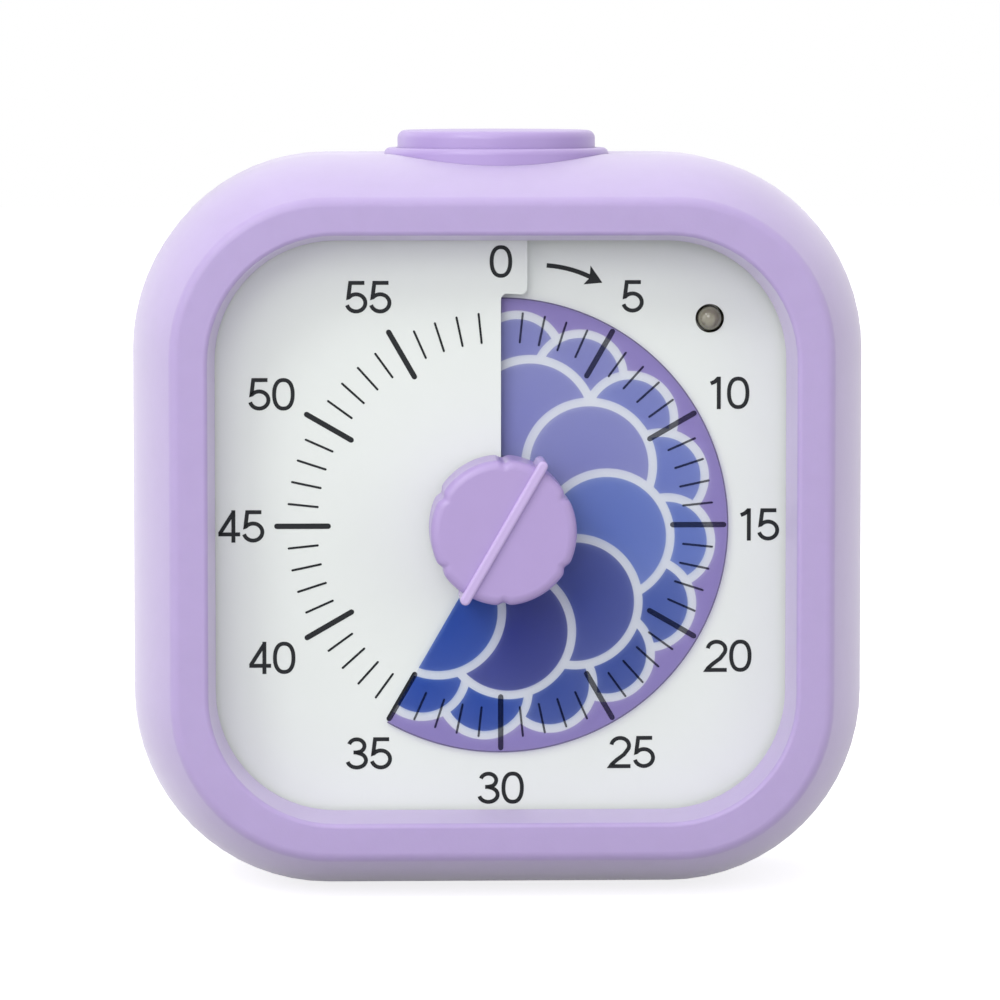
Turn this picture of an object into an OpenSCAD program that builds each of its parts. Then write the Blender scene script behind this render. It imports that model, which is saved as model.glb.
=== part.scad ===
// Visual countdown timer: a knob turns a printed disc up through a slit in the dial card.
// World frame: X right, Y to the rear, Z up; the origin is the middle of the flat base.
// Inside facing() the frame is that of the dial: x right, y up, z towards the user,
// with z = 0 on the front face, so a point at depth d behind the front has z = -d.

/* [Body] */
// Width of the body at its widest section
body_w = 90; // [86:0.5:100]
// Height of the body at its widest section
body_h = 90; // [86:0.5:100]
// Depth from the front face to the rear face
body_depth = 42; // [42:0.5:50]
// Corner radius at the widest section
body_r = 24; // [22:0.5:28]
// How much each side widens from the front band to the widest section
flare = 5.15; // [3:0.05:6]
// Depth at which the sides become parallel
flare_depth = 20; // [16:0.5:22]
// Wall of the housing
wall = 2; // [1.6:0.1:2.4]
// Rounding of the front outer edge
front_edge_r = 0.8; // [0.4:0.1:1.2]
// Rounding of the rear edge
rear_edge_r = 3.5; // [2:0.25:3.5]
// Thickness of the rear cover's rim, from its seat to the rear face
cover_depth = 3.6; // [3.55:0.05:4]

/* [Window] */
// Width of the bezel, from the body's widest section to the window at the dial
bezel_w = 10.25; // [10:0.25:11]
// Corner radius of the window
window_r = 14.6; // [14:0.1:15.5]
// How much wider the window is at the front, each side
window_draft = 0.85; // [0.3:0.05:1]
// Depth of the window's wall
chute_depth = 7.1; // [6:0.1:8]
// Thickness of the window's wall
chute_wall = 1.5; // [1:0.1:1.8]

/* [Dial] */
// Rise of the dial card over one full turn
pitch = 1.5; // [1.3:0.05:1.6]
// Thickness of the dial card
card_t = 0.5; // [0.4:0.05:0.6]
// How far the dial card reaches under the window's wall
card_overlap = 0.85; // [0.6:0.05:0.95]
// Width of the numerals' band, from the timer disc's rim to the window
numeral_band = 6.95; // [6.5:0.05:8.5]
// Thickness of the timer disc
disc_t = 0.3; // [0.2:0.05:0.35]
// Air between the dial card and the timer disc
disc_gap = 0.25; // [0.2:0.05:0.3]
// Minutes the timer is set to at rest
set_minutes = 35; // [5:1:55]
// Reach of the card's upper flap to the right of the slit
flap_w = 3.2; // [2:0.1:4]
// Diameter of the indicator lamp
lamp_d = 3; // [2.6:0.1:3.2]
// Distance of the lamp from the window's right side
lamp_right = 9.25; // [8.8:0.05:10]
// Distance of the lamp from the window's top
lamp_top = 9.55; // [9:0.05:10.5]

/* [Knob] */
// Radius of the knob
knob_r = 8.8; // [8.4:0.1:10]
// How far the knob's face stands in front of the housing
knob_out = 3.6; // [2:0.1:6]
// Rounding of the knob's front edge
knob_edge_r = 1; // [0.5:0.1:1.4]
// Length of the pointer bar across the knob
bar_l = 19.1; // [18.4:0.1:21]
// Width of the pointer bar
bar_w = 1.25; // [1:0.05:1.8]
// Height of the pointer bar over the knob's face
bar_h = 0.55; // [0.3:0.05:0.9]
// Number of grip notches
notch_count = 6; // [4:1:12]
// Radius of a grip notch
notch_r = 0.55; // [0.4:0.05:0.7]
// Radius of the spindle
spindle_r = 1.5; // [1.3:0.05:1.6]

/* [Button] */
// Radius of the push button
button_r = 12.25; // [11:0.05:12.5]
// Distance of the button's axis from the rear face
button_back = 18; // [18:0.25:20]
// Height of the button over the collar
button_rise = 2.15; // [1.6:0.05:3]
// Travel of the button
button_travel = 1.2; // [0.8:0.1:1.3]
// Outer radius of the collar
collar_r = 13.9; // [13.8:0.05:14.3]
// Height of the collar over the body
collar_rise = 0.75; // [0.5:0.05:1]
// Rounding of the button's upper edge
button_edge_r = 1; // [0.5:0.05:1.2]

/* [Batteries] */
// Diameter of a cell
cell_d = 10.5; // [10.1:0.1:10.5]
// Length of a cell with its nub
cell_l = 44.5; // [43.5:0.1:44.5]
// Room in the bay for a cell's spring and contacts
contact_room = 5.9; // [5.5:0.1:7]
// Thickness of the battery door
door_t = 2; // [1.8:0.1:2.2]

/* [Movement] */
// Gear module
gear_m = 0.35; // [0.34:0.005:0.355]
// Thickness of a wheel
wheel_t = 0.9; // [0.6:0.05:1]
// Wall of the movement's case
case_wall = 1.2; // [1:0.05:1.3]
// Thickness of the chassis plate
chassis_t = 1.4; // [1.2:0.05:1.6]
// Thickness of the circuit board
board_t = 1.2; // [0.8:0.1:1.6]

/* [Fits] */
// Radial running clearance of shafts and pins
run_fit = 0.05; // [0.03:0.01:0.08]
// Clearance between pieces that are assembled
seat_fit = 0.1; // [0.05:0.01:0.15]
// Clearance around the door and the button
gap_fit = 0.1; // [0.08:0.01:0.15]

/* [Hidden] */
$fn = 64;
corner_steps = 7;
eps = 0.01;

window_w = body_w - 2 * bezel_w;
window_h = body_h - 2 * bezel_w;
disc_r = min(window_w, window_h) / 2 - numeral_band;
button_d = body_depth - button_back;
bay_l = cell_l + contact_room;

// The base's flat runs from the end of the flare to the rear rounding; Y = 0 is its middle.
front_y = -(flare_depth + body_depth - rear_edge_r) / 2;
shell_end = body_depth - cover_depth;
cavity_end = body_depth - wall;

// Depths behind the front face, from the dial card back to the board.
card_play = 0.15;
card_d = chute_depth + card_play + pitch;
under_card = 4;
chassis_d = card_d + under_card;
case_d = chassis_d + chassis_t;
case_front = case_d + case_wall;
case_t = 12;
case_rear = case_d + case_t;
case_floor = case_rear - case_wall;
tact_depth = 6;
// The board lies clear of the movement and behind the switch that stands below the button.
board_d = max(case_rear + 0.85, button_d + tact_depth / 2);

// Dial angles are clockwise from 12 o'clock.
disc_span = 350;
disc_lead = set_minutes * 6;
disc_tail = disc_lead - disc_span;
hub_r = 6;
hub_low = -0.65;
hub_high = 1.45;
flap_r = disc_r + 0.5;
card_hole_r = 7;
most_climb = pitch * (360 - disc_lead) / 360;
knob_base = hub_high + most_climb + 0.18;
knob_face = card_d + knob_out;
d_flat = spindle_r * 0.7;

// Screws and posts.
lamp_at = [window_w / 2 - lamp_right, window_h / 2 - lamp_top];
lead_gap = 2.54;
lead_r = 0.25;
leads = [for (x = [-1, 1]) lamp_at + [x * lead_gap / 2, 0]];
corner_post = body_w / 2 - 11.5;
corner_post_y = body_h / 2 - 11.5;
corner_posts = [for (x = [-1, 1], y = [-1, 1]) [x * corner_post, y * corner_post_y]];
post_r = 3;
head_depth = body_depth - 6;
post_end = head_depth - 6;
housing_screw_r = 1.1;
housing_screw_l = 12;
housing_head_r = 2.15;
small_screw_r = 0.75;
small_head_r = 1.6;
small_head_t = 1;
chassis_post_x = body_w / 2 - 6.7;
chassis_post_y = 14;
chassis_posts = [for (x = [-1, 1], y = [-1, 1]) [x * chassis_post_x, y * chassis_post_y]];
chassis_post_r = 2;
chassis_w = 2 * (corner_post - post_r) - 1.8;
chassis_h = 66;
card_leg_r = 1.6;
card_peg_r = 0.8;
card_legs = [for (x = [-1, 1], y = [-1, 1]) [x * (disc_r + 3.7), y * 13]];

// Movement case and its train, seen from the front.
centre_teeth = 60;
wheel_teeth = 50;
pinion_teeth = 10;
addendum = 0.85 * gear_m;
arbor_r = 0.5;
bush_r = 3;
pair_a = gear_m * (centre_teeth + pinion_teeth) / 2;
pair_b = gear_m * (wheel_teeth + pinion_teeth) / 2;
turn_third = 220;
turn_second = -60;
turn_rotor = 20;
third_at = pair_a * [cos(turn_third), sin(turn_third)];
second_at = third_at + pair_b * [cos(turn_second), sin(turn_second)];
rotor_at = second_at + pair_b * [cos(turn_rotor), sin(turn_rotor)];
wheel_tip = gear_m * wheel_teeth / 2 + addendum;
level_a = case_front + 2.3;
level_b = level_a + wheel_t + 2.3;
level_c = level_b + wheel_t + 1.1;
stator_d = level_b - 1.5;
stator_t = 1;
magnet_r = 3;
coil_at = rotor_at + [1.25, -8.6];
coil_l = 12;
core_w = 2.6;
stator_reach = coil_l / 2 + 3.4;
case_room = 0.6 + case_wall;
case_left = third_at[0] - wheel_tip - case_room;
case_right = coil_at[0] + stator_reach + 0.3 + case_room;
case_low = second_at[1] - wheel_tip - case_room;
case_high = gear_m * centre_teeth / 2 + addendum + case_room;
case_posts = [for (x = [case_left + 2.3, case_right - 2.1], y = [case_low + 2.4, case_high - 2.3])
    [x, y]];
case_post_r = 1.7;

// Board, switches and buzzer.
board_w = body_w - 29;
board_low = -4;
board_high = 31.5;
pillar_r = 2.2;
pillars = [for (x = [-1, 1]) each [[x * 22, board_high - 2.5], [x * (board_w / 2 - 3.5), board_low + 3]]];
buzzer_at = [-14, 14];
buzzer_r = 6;
buzzer_t = 5.5;
slider_at = [16, 14];
slider_step = 2;
slot_l = 7.4;
slot_w = 2.3;
nub_l = 3.2;
nub_w = 2;
well_t = 0.9;
tact_top = board_high + 0.5;
tact_stem = 1;

// Battery bay and door, in the dial's frame.
bay_y = -21;
cell_gap = 0.9;
bay_h = 2 * cell_d + cell_gap + 0.6;
bay_wall = 1.2;
cell_depth = cavity_end - 0.25 - cell_d / 2;
bay_floor = cell_depth - cell_d / 2 - 0.15;
ledge = 2.2;
door_w = bay_l + 2 * ledge;
door_h = bay_h + 2 * 1.6;
door_low = bay_y - door_h / 2;
door_in = body_depth - door_t;
door_axis_y = door_low + door_t / 2;
door_axis_d = body_depth - door_t / 2;
pin_r = 0.5;
pin_l = 1.2;
contact_t = 0.3;
contact_w = cell_d - 1.5;
bump_t = 0.8;
cell_flat = bay_l / 2 - contact_t - bump_t - cell_l;

// Button, in the world frame.
button_y = front_y + button_d;
collar_top = body_h + collar_rise;
collar_low = body_h - 6;
collar_floor = 1.2;
collar_edge_r = 0.35;
plunger_r = 2.3;
plunger_low = body_h / 2 + tact_top + tact_stem + button_travel + gap_fit;
cap_t = 1.6;
spring_r = 4.6;
spring_wire = 0.5;

// ---------- frames and helpers ----------

// Puts the dial's frame into the world.
module facing() {
    translate([0, front_y, body_h / 2]) rotate([90, 0, 0]) children();
}

// Extrudes a flat outline from depth d0 to depth d1.
module slab(d0, d1) {
    translate([0, 0, -d1]) linear_extrude(d1 - d0) children();
}

// A round bar along the depth.
module rod(at, r, d0, d1) {
    translate([at[0], at[1], -d1]) cylinder(r = r, h = d1 - d0);
}

// A rectangle given by its four sides.
module span(x0, x1, y0, y1) {
    translate([x0, y0]) square([x1 - x0, y1 - y0]);
}

// A rectangle with true round corners, centred.
module rounded(w, h, r) {
    square([w - 2 * r, h], center = true);
    square([w, h - 2 * r], center = true);
    for (x = [-1, 1], y = [-1, 1]) translate([x * (w / 2 - r), y * (h / 2 - r)]) circle(r);
}

// One ring of a loft: a rounded rectangle of half width hw, half height hh and corner r.
function ring(s) = [for (q = [0:3]) for (i = [0:corner_steps])
    let (a = 90 * (q + i / corner_steps),
         cx = (q == 0 || q == 3) ? s[1] - s[3] : s[3] - s[1],
         cy = q < 2 ? s[2] - s[3] : s[3] - s[2])
    [cx + s[3] * cos(a), cy + s[3] * sin(a), -s[0]]];

// A solid through rounded-rectangle sections [depth, half width, half height, corner].
module loft(sections) {
    m = 4 * (corner_steps + 1);
    last = (len(sections) - 1) * m;
    polyhedron(
        points = [for (s = sections) each ring(s)],
        faces = concat(
            [[for (i = [m - 1:-1:0]) i], [for (i = [0:m - 1]) last + i]],
            [for (k = [0:len(sections) - 2]) for (i = [0:m - 1])
                let (j = (i + 1) % m) each [
                    [k * m + i, k * m + j, (k + 1) * m + j],
                    [k * m + i, (k + 1) * m + j, (k + 1) * m + i]]]));
}

// Section of the body's outside at depth d, drawn in by inset.
function body_at(d, inset) =
    let (u = min(d, flare_depth) / flare_depth, k = flare * (1 - u) * (1 - u))
    [d, body_w / 2 - k - inset, body_h / 2 - k - inset, body_r - k - inset];
function at_depth(d, s) = [d, s[1], s[2], s[3]];
function window_at(d, grow) =
    let (k = window_draft * (1 - d / chute_depth) + grow)
    [d, window_w / 2 + k, window_h / 2 + k, window_r + k];

flare_steps = 7;
front_edge = [for (a = [90:-30:0])
    at_depth(front_edge_r * (1 - sin(a)), body_at(front_edge_r, front_edge_r * (1 - cos(a))))];
flare_sections = [for (i = [1:flare_steps])
    body_at(front_edge_r + (flare_depth - front_edge_r) * i / flare_steps, 0)];
inner_sections = [for (i = [0:flare_steps])
    body_at(wall + (flare_depth - wall) * i / flare_steps, wall)];
rear_edge = [for (a = [0:18:90])
    at_depth(body_depth - rear_edge_r * (1 - sin(a)),
        body_at(body_depth, rear_edge_r * (1 - cos(a))))];

// A plate along the card's helix, from angle a0 to a1 and radius r0 to r1; its top is
// top above the card plane at angle 0 and rises by pitch each turn.
module helix_plate(a0, a1, r0, r1, top, t, step) {
    n = ceil((a1 - a0) / step);
    function rise(a) = top + pitch * a / 360 - card_d;
    polyhedron(
        points = [for (i = [0:n]) let (a = a0 + (a1 - a0) * i / n) each [
            [r0 * sin(a), r0 * cos(a), rise(a) - t], [r1 * sin(a), r1 * cos(a), rise(a) - t],
            [r1 * sin(a), r1 * cos(a), rise(a)], [r0 * sin(a), r0 * cos(a), rise(a)]]],
        faces = concat([[0, 1, 2, 3], [4 * n + 3, 4 * n + 2, 4 * n + 1, 4 * n]],
            [for (i = [0:n - 1]) for (k = [0:3])
                let (p = 4 * i + k, q = 4 * i + (k + 1) % 4)
                each [[q, p, p + 4], [q, p + 4, q + 4]]]));
}

// A coil spring: a round wire swept along a helix about Z, radius r0 at the foot, r1 on top.
module coil(r0, r1, h, turns, wire_r) {
    steps = round(turns * 16);
    sides = 6;
    polyhedron(
        points = [for (i = [0:steps]) for (k = [0:sides - 1])
            let (a = 360 * turns * i / steps, b = -360 * k / sides,
                 r = r0 + (r1 - r0) * i / steps + wire_r * cos(b))
            [r * cos(a), r * sin(a), wire_r + (h - 2 * wire_r) * i / steps + wire_r * sin(b)]],
        faces = concat([[for (k = [0:sides - 1]) k],
                [for (k = [sides - 1:-1:0]) steps * sides + k]],
            [for (i = [0:steps - 1]) for (k = [0:sides - 1])
                let (p = i * sides + k, q = i * sides + (k + 1) % sides)
                each [[q, p, p + sides], [q, p + sides, q + sides]]]));
}

// A self-tapping screw along the depth: shank from depth d1 forward to d0, head behind it.
module screw(at, r, head_r, head_t, d0, d1) {
    rod(at, r, d0, d1 + eps);
    difference() {
        rod(at, head_r, d1, d1 + head_t);
        for (a = [0, 90]) translate([at[0], at[1], -d1 - head_t])
            rotate(a) cube([head_r * 1.1, head_r * 0.25, head_t], center = true);
    }
}

// D-shaped section of the spindle; grow widens it to a bore.
module d_section(grow) {
    intersection() {
        circle(spindle_r + grow);
        span(-spindle_r - 1, d_flat + grow, -spindle_r - 1, spindle_r + 1);
    }
}

// Outline of a gear with n teeth, one tooth centred on the x axis.
module gear_outline(n) {
    rp = gear_m * n / 2;
    polygon([for (i = [0:n - 1]) for (p = [
        [rp - 1.2 * gear_m, -32], [rp, -20], [rp + 0.85 * gear_m, -9],
        [rp + 0.85 * gear_m, 9], [rp, 20], [rp - 1.2 * gear_m, 32]])
        let (a = 360 / n * (i + p[1] / 90)) p[0] * [cos(a), sin(a)]]);
}

// A spoked wheel with its pinion and arbor, turning at the point at. The wheel lies at
// depth wheel_d, the pinion from p0 to p1; turns are the two outlines' starting angles.
module geared(at, teeth, wheel_d, wheel_turn, p0, p1, pinion_turn) {
    rim_r = gear_m * teeth / 2 - 1.2 * gear_m - 1;
    translate([at[0], at[1], 0]) {
        slab(wheel_d, wheel_d + wheel_t) difference() {
            rotate(wheel_turn) gear_outline(teeth);
            for (a = [0:90:270]) rotate(a + 45) translate([(rim_r + 2.8) / 2, 0])
                circle((rim_r - 2.8) / 2 * 0.9);
        }
        slab(p0, p1) rotate(pinion_turn) gear_outline(pinion_teeth);
        rod([0, 0], arbor_r, case_d + 0.5, case_rear - 0.5);
    }
}

// ---------- housing ----------

module body_shell() {
    color("#c4b3de") difference() {
        facing() difference() {
            union() {
                difference() {
                    loft(concat(front_edge, flare_sections, [body_at(shell_end, 0)]));
                    loft(concat(inner_sections, [body_at(shell_end + 1, wall)]));
                }
                loft([window_at(1, chute_wall), window_at(chute_depth, chute_wall)]);
                for (p = corner_posts) rod(p, post_r, chute_depth - 1, post_end);
                for (p = chassis_posts) rod(p, chassis_post_r, wall - 0.5, chassis_d);
            }
            loft([window_at(-1, 0), window_at(chute_depth + 0.5, 0)]);
            for (p = corner_posts)
                rod(p, housing_screw_r + run_fit, head_depth - housing_screw_l - 1, post_end + 1);
            for (p = chassis_posts)
                rod(p, small_screw_r + run_fit, chassis_d - 5, chassis_d + 1);
        }
        translate([0, button_y, body_h / 2 + window_h / 2 + 3])
            cylinder(r = collar_r + run_fit, h = body_h);
    }
}

module rear_cover() {
    tongue = wall + seat_fit;
    tongue_t = 1.2;
    tube_r = post_r + 0.4;
    color("#b9a7d6") facing() difference() {
        union() {
            loft(concat([body_at(shell_end, 0)], rear_edge));
            loft([body_at(shell_end - 1.5, tongue), body_at(shell_end + 0.5, tongue)]);
            // corner tubes for the housing screws
            for (p = corner_posts) rod(p, tube_r, post_end, cavity_end + 0.5);
        }
        // hollow of the cover, around tubes, bay and door frame
        difference() {
            loft([body_at(shell_end - 2, tongue + tongue_t), body_at(cavity_end, tongue + tongue_t)]);
            for (p = corner_posts) rod(p, tube_r, post_end, body_depth);
        }
        for (p = corner_posts) {
            rod(p, housing_head_r + seat_fit, head_depth, body_depth + 1);
            rod(p, housing_screw_r + 0.3, post_end - 1, head_depth + 1);
        }
        cover_openings();
        // room for the button's collar, which cuts the tongue
        translate([0, body_h / 2, -button_d]) rotate([90, 0, 0])
            cylinder(r = collar_r + 0.4, h = 9);
    }
    color("#b9a7d6") facing() {
        battery_bay();
        switch_clips();
    }
}

// Openings through the rear cover: door recess, sound grille and the slider's well.
module cover_openings() {
    slab(shell_end - 3, body_depth + 1) door_frame();
    for (a = [0:60:300]) rod(buzzer_at + 3 * [cos(a), sin(a)], 0.9, cavity_end - 1, body_depth + 1);
    rod(buzzer_at, 0.9, cavity_end - 1, body_depth + 1);
    slab(body_depth - well_t, body_depth + 1) translate(slider_at) rounded(12, 5, 2);
    slab(cavity_end - 1, body_depth) translate(slider_at) square([slot_l, slot_w], center = true);
}

// Finger notch at the door's upper edge; the door's own tab is smaller by fit.
module door_notch(fit) {
    translate([0, door_low + door_h]) circle(4 - fit);
}

// Outline of the thick frame around the door and its notch.
module door_frame() {
    translate([0, bay_y]) square([door_w + 4, door_h + 4], center = true);
    door_notch(-1.5);
}

// The battery bay, a box open to the rear, with the frame that the door closes on.
module battery_bay() {
    difference() {
        union() {
            slab(bay_floor - bay_wall, body_depth) translate([0, bay_y])
                square([bay_l + 2 * bay_wall, bay_h + 2 * bay_wall], center = true);
            slab(shell_end + 0.6, body_depth) door_frame();
        }
        slab(bay_floor, body_depth + 1) translate([0, bay_y]) square([bay_l, bay_h], center = true);
        slab(door_in - gap_fit, body_depth + 1) translate([0, bay_y])
            square([door_w + 2 * gap_fit, door_h + 2 * gap_fit], center = true);
        slab(door_in - gap_fit, body_depth + 1) door_notch(0);
        for (x = [-1, 1]) translate([x * door_w / 2, door_axis_y, -door_axis_d])
            rotate([0, 90, 0]) cylinder(r = pin_r + run_fit, h = 2 * pin_l + 0.4, center = true);
    }
    // rib between the two cells
    slab(bay_floor - eps, bay_floor + 2) translate([0, bay_y])
        square([bay_l - 8, cell_gap * 0.6], center = true);
}

// Two ribs of the rear cover that hold the sound switch.
module switch_clips() {
    for (x = [-1, 1]) slab(cavity_end - 5.2, cavity_end + eps)
        translate(slider_at + [x * 6.1, 0]) square([1.2, 5], center = true);
}

module housing_screws() {
    color("silver") facing() for (p = corner_posts)
        screw(p, housing_screw_r, housing_head_r, 1.5, head_depth - housing_screw_l, head_depth);
}

// ---------- dial ----------

module dial_card() {
    card_w = window_w + 2 * card_overlap;
    card_h = window_h + 2 * card_overlap;
    card_r = window_r + card_overlap;
    color("white") facing() difference() {
        union() {
            intersection() {
                helix_plate(0, 360, card_hole_r, max(card_w, card_h) * 0.73, 0, card_t, 5);
                slab(card_d - 2 * pitch, card_d + 2 * pitch) rounded(card_w, card_h, card_r);
            }
            // flap to the right of the slit, and the step down from its edge
            slab(card_d - pitch, card_d - pitch + card_t) flap(-0.3, card_h);
            slab(card_d - pitch, card_d + card_t * 0.8) flap(flap_w - card_t, card_h);
            for (p = card_legs) {
                leg_top = card_d - pitch * dial_turn_of(p) + card_t / 2;
                rod(p, card_leg_r, leg_top, chassis_d);
                rod(p, card_peg_r, leg_top, case_d);
            }
        }
        rod(lamp_at, lamp_d / 2 + 0.25, card_d - pitch - 1, card_d + card_t + 1);
    }
}

// Share of a full clockwise turn at which a point of the dial lies.
function dial_turn_of(p) = (atan2(-p[0], -p[1]) + 180) / 360;

// The card's flap from x0 to its edge, outside the timer disc and inside the window's wall.
module flap(x0, card_h) {
    difference() {
        span(x0, flap_w, flap_r * 0.9, card_h / 2);
        circle(flap_r);
    }
}

module dial_chassis() {
    color("#3a3a40") facing() difference() {
        union() {
            slab(chassis_d, case_d) {
                rounded(chassis_w, chassis_h, 4);
                rounded(2 * (chassis_post_x + chassis_post_r), 2 * chassis_post_y + 8, 3);
            }
            for (p = pillars) rod(p, pillar_r, chassis_d + 0.5, board_d);
        }
        rod([0, 0], bush_r + seat_fit, chassis_d - 1, case_d + 1);
        for (p = chassis_posts) rod(p, small_screw_r + 0.15, chassis_d - 1, case_d + 1);
        for (p = card_legs) rod(p, card_peg_r + run_fit, chassis_d - 1, case_d + 1);
        for (p = pillars) rod(p, small_screw_r + run_fit, board_d - 5, board_d + 1);
        for (p = leads) rod(p, lead_r + 0.2, chassis_d - 1, case_d + 1);
    }
}

module chassis_screws() {
    color("silver") facing() for (p = chassis_posts)
        screw(p, small_screw_r, small_head_r, small_head_t, case_d - 5, case_d);
}

module led_lens() {
    lamp_r = lamp_d / 2;
    dome_d = card_d + 0.2;
    color("#82796a") facing() {
        translate([lamp_at[0], lamp_at[1], -dome_d]) sphere(r = lamp_r);
        rod(lamp_at, lamp_r, dome_d, chassis_d - 0.9);
        rod(lamp_at, lamp_r + 0.4, chassis_d - 1, chassis_d);
    }
}

module led_leads() {
    color("silver") facing() for (p = leads)
        rod(p, lead_r, chassis_d, board_d + board_t + 0.5);
}

module timer_disc() {
    color("#7a7fb8") facing()
        helix_plate(disc_tail, disc_lead, hub_r + 0.05, disc_r, disc_gap + disc_t, disc_t, 5);
}

module disc_hub() {
    color("#e8e8ec") facing() difference() {
        rod([0, 0], hub_r, card_d - hub_high, card_d - hub_low);
        slab(card_d - hub_high - 1, card_d - hub_low + 1) rotate(-disc_lead) d_section(run_fit);
    }
}

// ---------- knob, spindle and clutch ----------

module knob() {
    face = knob_face - knob_edge_r;
    bore_top = knob_face - 1.6;
    color("#b9a4d6") facing() translate([0, 0, -card_d]) rotate(-disc_lead) difference() {
        union() {
            rotate_extrude() union() {
                span(0, knob_r, knob_base, face);
                span(0, knob_r - knob_edge_r, knob_base, knob_face);
                translate([knob_r - knob_edge_r, face]) circle(knob_edge_r);
            }
            translate([0, 0, knob_base + 1.2]) linear_extrude(knob_face + bar_h - knob_base - 1.2) {
                square([bar_w, bar_l - bar_w], center = true);
                for (y = [-1, 1]) translate([0, y * (bar_l - bar_w) / 2]) circle(bar_w / 2);
            }
        }
        for (i = [0:notch_count - 1]) rotate(30 + 360 / notch_count * i)
            translate([0, knob_r - 0.3, knob_base - 1]) cylinder(r = notch_r, h = 20);
        // hollow underneath, around the boss that grips the spindle
        translate([0, 0, knob_base - 1]) linear_extrude(bore_top - knob_base) difference() {
            circle(knob_r - 1.8);
            circle(spindle_r + 1.8);
            square([1, 2 * knob_r], center = true);
        }
        translate([0, 0, knob_base - 1]) linear_extrude(bore_top - knob_base) d_section(0.02);
    }
}

module spindle() {
    d_end = card_d + 3;
    color("silver") facing() rotate(-disc_lead) {
        slab(card_d - knob_face + 3, d_end) d_section(0);
        rod([0, 0], spindle_r, d_end - eps, case_rear - 0.5);
        // shoulder that backs the clutch spring
        rod([0, 0], spindle_r + 0.8, level_b - 0.55, level_b - 0.25);
    }
}

module clutch_spring() {
    color("silver") facing() difference() {
        rod([0, 0], 3.1, level_b - 0.75, level_b - 0.55);
        rod([0, 0], spindle_r + 0.02, level_b - 2, level_b);
    }
}

// ---------- movement ----------

module case_outline() {
    span(case_left, case_right, case_low, case_high);
}

module movement_cover() {
    color("#e6e6e2") facing() difference() {
        union() {
            slab(case_d, case_front) case_outline();
            for (p = case_posts) rod(p, case_post_r, case_front - 0.2, case_front + 2);
        }
        rod([0, 0], bush_r + 0.02, case_d - 1, case_front + 1);
        for (p = [third_at, second_at, rotor_at])
            rod(p, arbor_r + run_fit, case_d + 0.4, case_front + 1);
        for (p = case_posts) rod(p, small_screw_r - 0.13, case_d + 0.6, case_front + 3);
    }
}

module movement_base() {
    color("#e6e6e2") facing() difference() {
        union() {
            slab(case_floor, case_rear) case_outline();
            slab(case_front, case_rear) difference() {
                case_outline();
                span(case_left + case_wall, case_right - case_wall,
                    case_low + case_wall, case_high - case_wall);
            }
            for (p = case_posts) rod(p, case_post_r, case_front + 2, case_floor + 0.2);
        }
        rod([0, 0], spindle_r + run_fit, case_floor - 1, case_rear - 0.4);
        for (p = [third_at, second_at, rotor_at])
            rod(p, arbor_r + run_fit, case_floor - 1, case_rear - 0.4);
        for (p = case_posts) {
            rod(p, case_post_r + run_fit, case_front - 1, case_front + 2);
            rod(p, 0.75, case_front + 1, case_rear + 1);
            rod(p, 1.35, case_rear - 1.3, case_rear + 1);
        }
    }
}

module movement_screws() {
    color("silver") facing() for (p = case_posts)
        screw(p, 0.6, 1.25, 1.1, case_front - 0.3, case_rear - 1.3);
}

module centre_bush() {
    color("#c9a94f") facing() difference() {
        union() {
            rod([0, 0], bush_r, chassis_d - 1.95, case_front + 0.4);
            rod([0, 0], bush_r + 1.2, case_front, case_front + 0.8);
        }
        rod([0, 0], spindle_r + run_fit, 0, case_front + 2);
    }
}

module mounting_nut() {
    color("#c9a94f") facing() difference() {
        slab(chassis_d - 1.7, chassis_d) circle(4.8, $fn = 6);
        rod([0, 0], bush_r + 0.02, 0, chassis_d + 1);
    }
}

// Laminated stator: a closed loop through the coil, with two poles around the rotor.
module motor_stator() {
    left = coil_at[0] - stator_reach;
    right = coil_at[0] + stator_reach;
    color("#8d8f94") facing() slab(stator_d, stator_d + stator_t) difference() {
        union() {
            span(left, right, coil_at[1] - core_w / 2, coil_at[1] + core_w / 2);
            span(left, left + 2.6, coil_at[1], rotor_at[1] + 1.4);
            span(right - 2.6, right, coil_at[1], rotor_at[1] + 1.4);
            span(left, right, rotor_at[1] - 1.4, rotor_at[1] + 1.4);
            translate(rotor_at) circle(5.2);
        }
        translate(rotor_at) circle(magnet_r + 0.45);
        for (a = [60, 240]) translate(rotor_at) rotate(a) translate([4.2, 0])
            square([1.4, 0.5], center = true);
    }
}

module motor_coil() {
    along = coil_at[0] - coil_l / 2;
    color("#b5652b") facing() difference() {
        translate([along, coil_at[1], -stator_d - stator_t / 2]) rotate([0, 90, 0]) {
            cylinder(r = 2.3, h = coil_l);
            cylinder(r = 2.7, h = 0.7);
            translate([0, 0, coil_l - 0.7]) cylinder(r = 2.7, h = 0.7);
        }
        slab(stator_d - 0.1, stator_d + stator_t + 0.1)
            span(along - 1, along + coil_l + 1, coil_at[1] - core_w / 2 - 0.1, coil_at[1] + core_w / 2 + 0.1);
    }
}

// Direction of the meeting points between the arbors, as each outline's starting angle.
module centre_wheel() {
    color("#d9b45a") facing() difference() {
        union() {
            slab(level_a, level_a + wheel_t) difference() {
                rotate(turn_third) gear_outline(centre_teeth);
                for (a = [0:90:270]) rotate(a) translate([6, 0]) circle(2.1);
            }
            rod([0, 0], 2.6, case_front + 0.9, level_b - 0.8);
        }
        rod([0, 0], spindle_r + run_fit, case_front, level_b);
    }
}

module third_wheel() {
    color("#e9e4d4") facing() geared(third_at, wheel_teeth, level_b, turn_second,
        level_a - 0.5, level_b + eps, turn_third + 180 + 180 / pinion_teeth);
}

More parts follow.
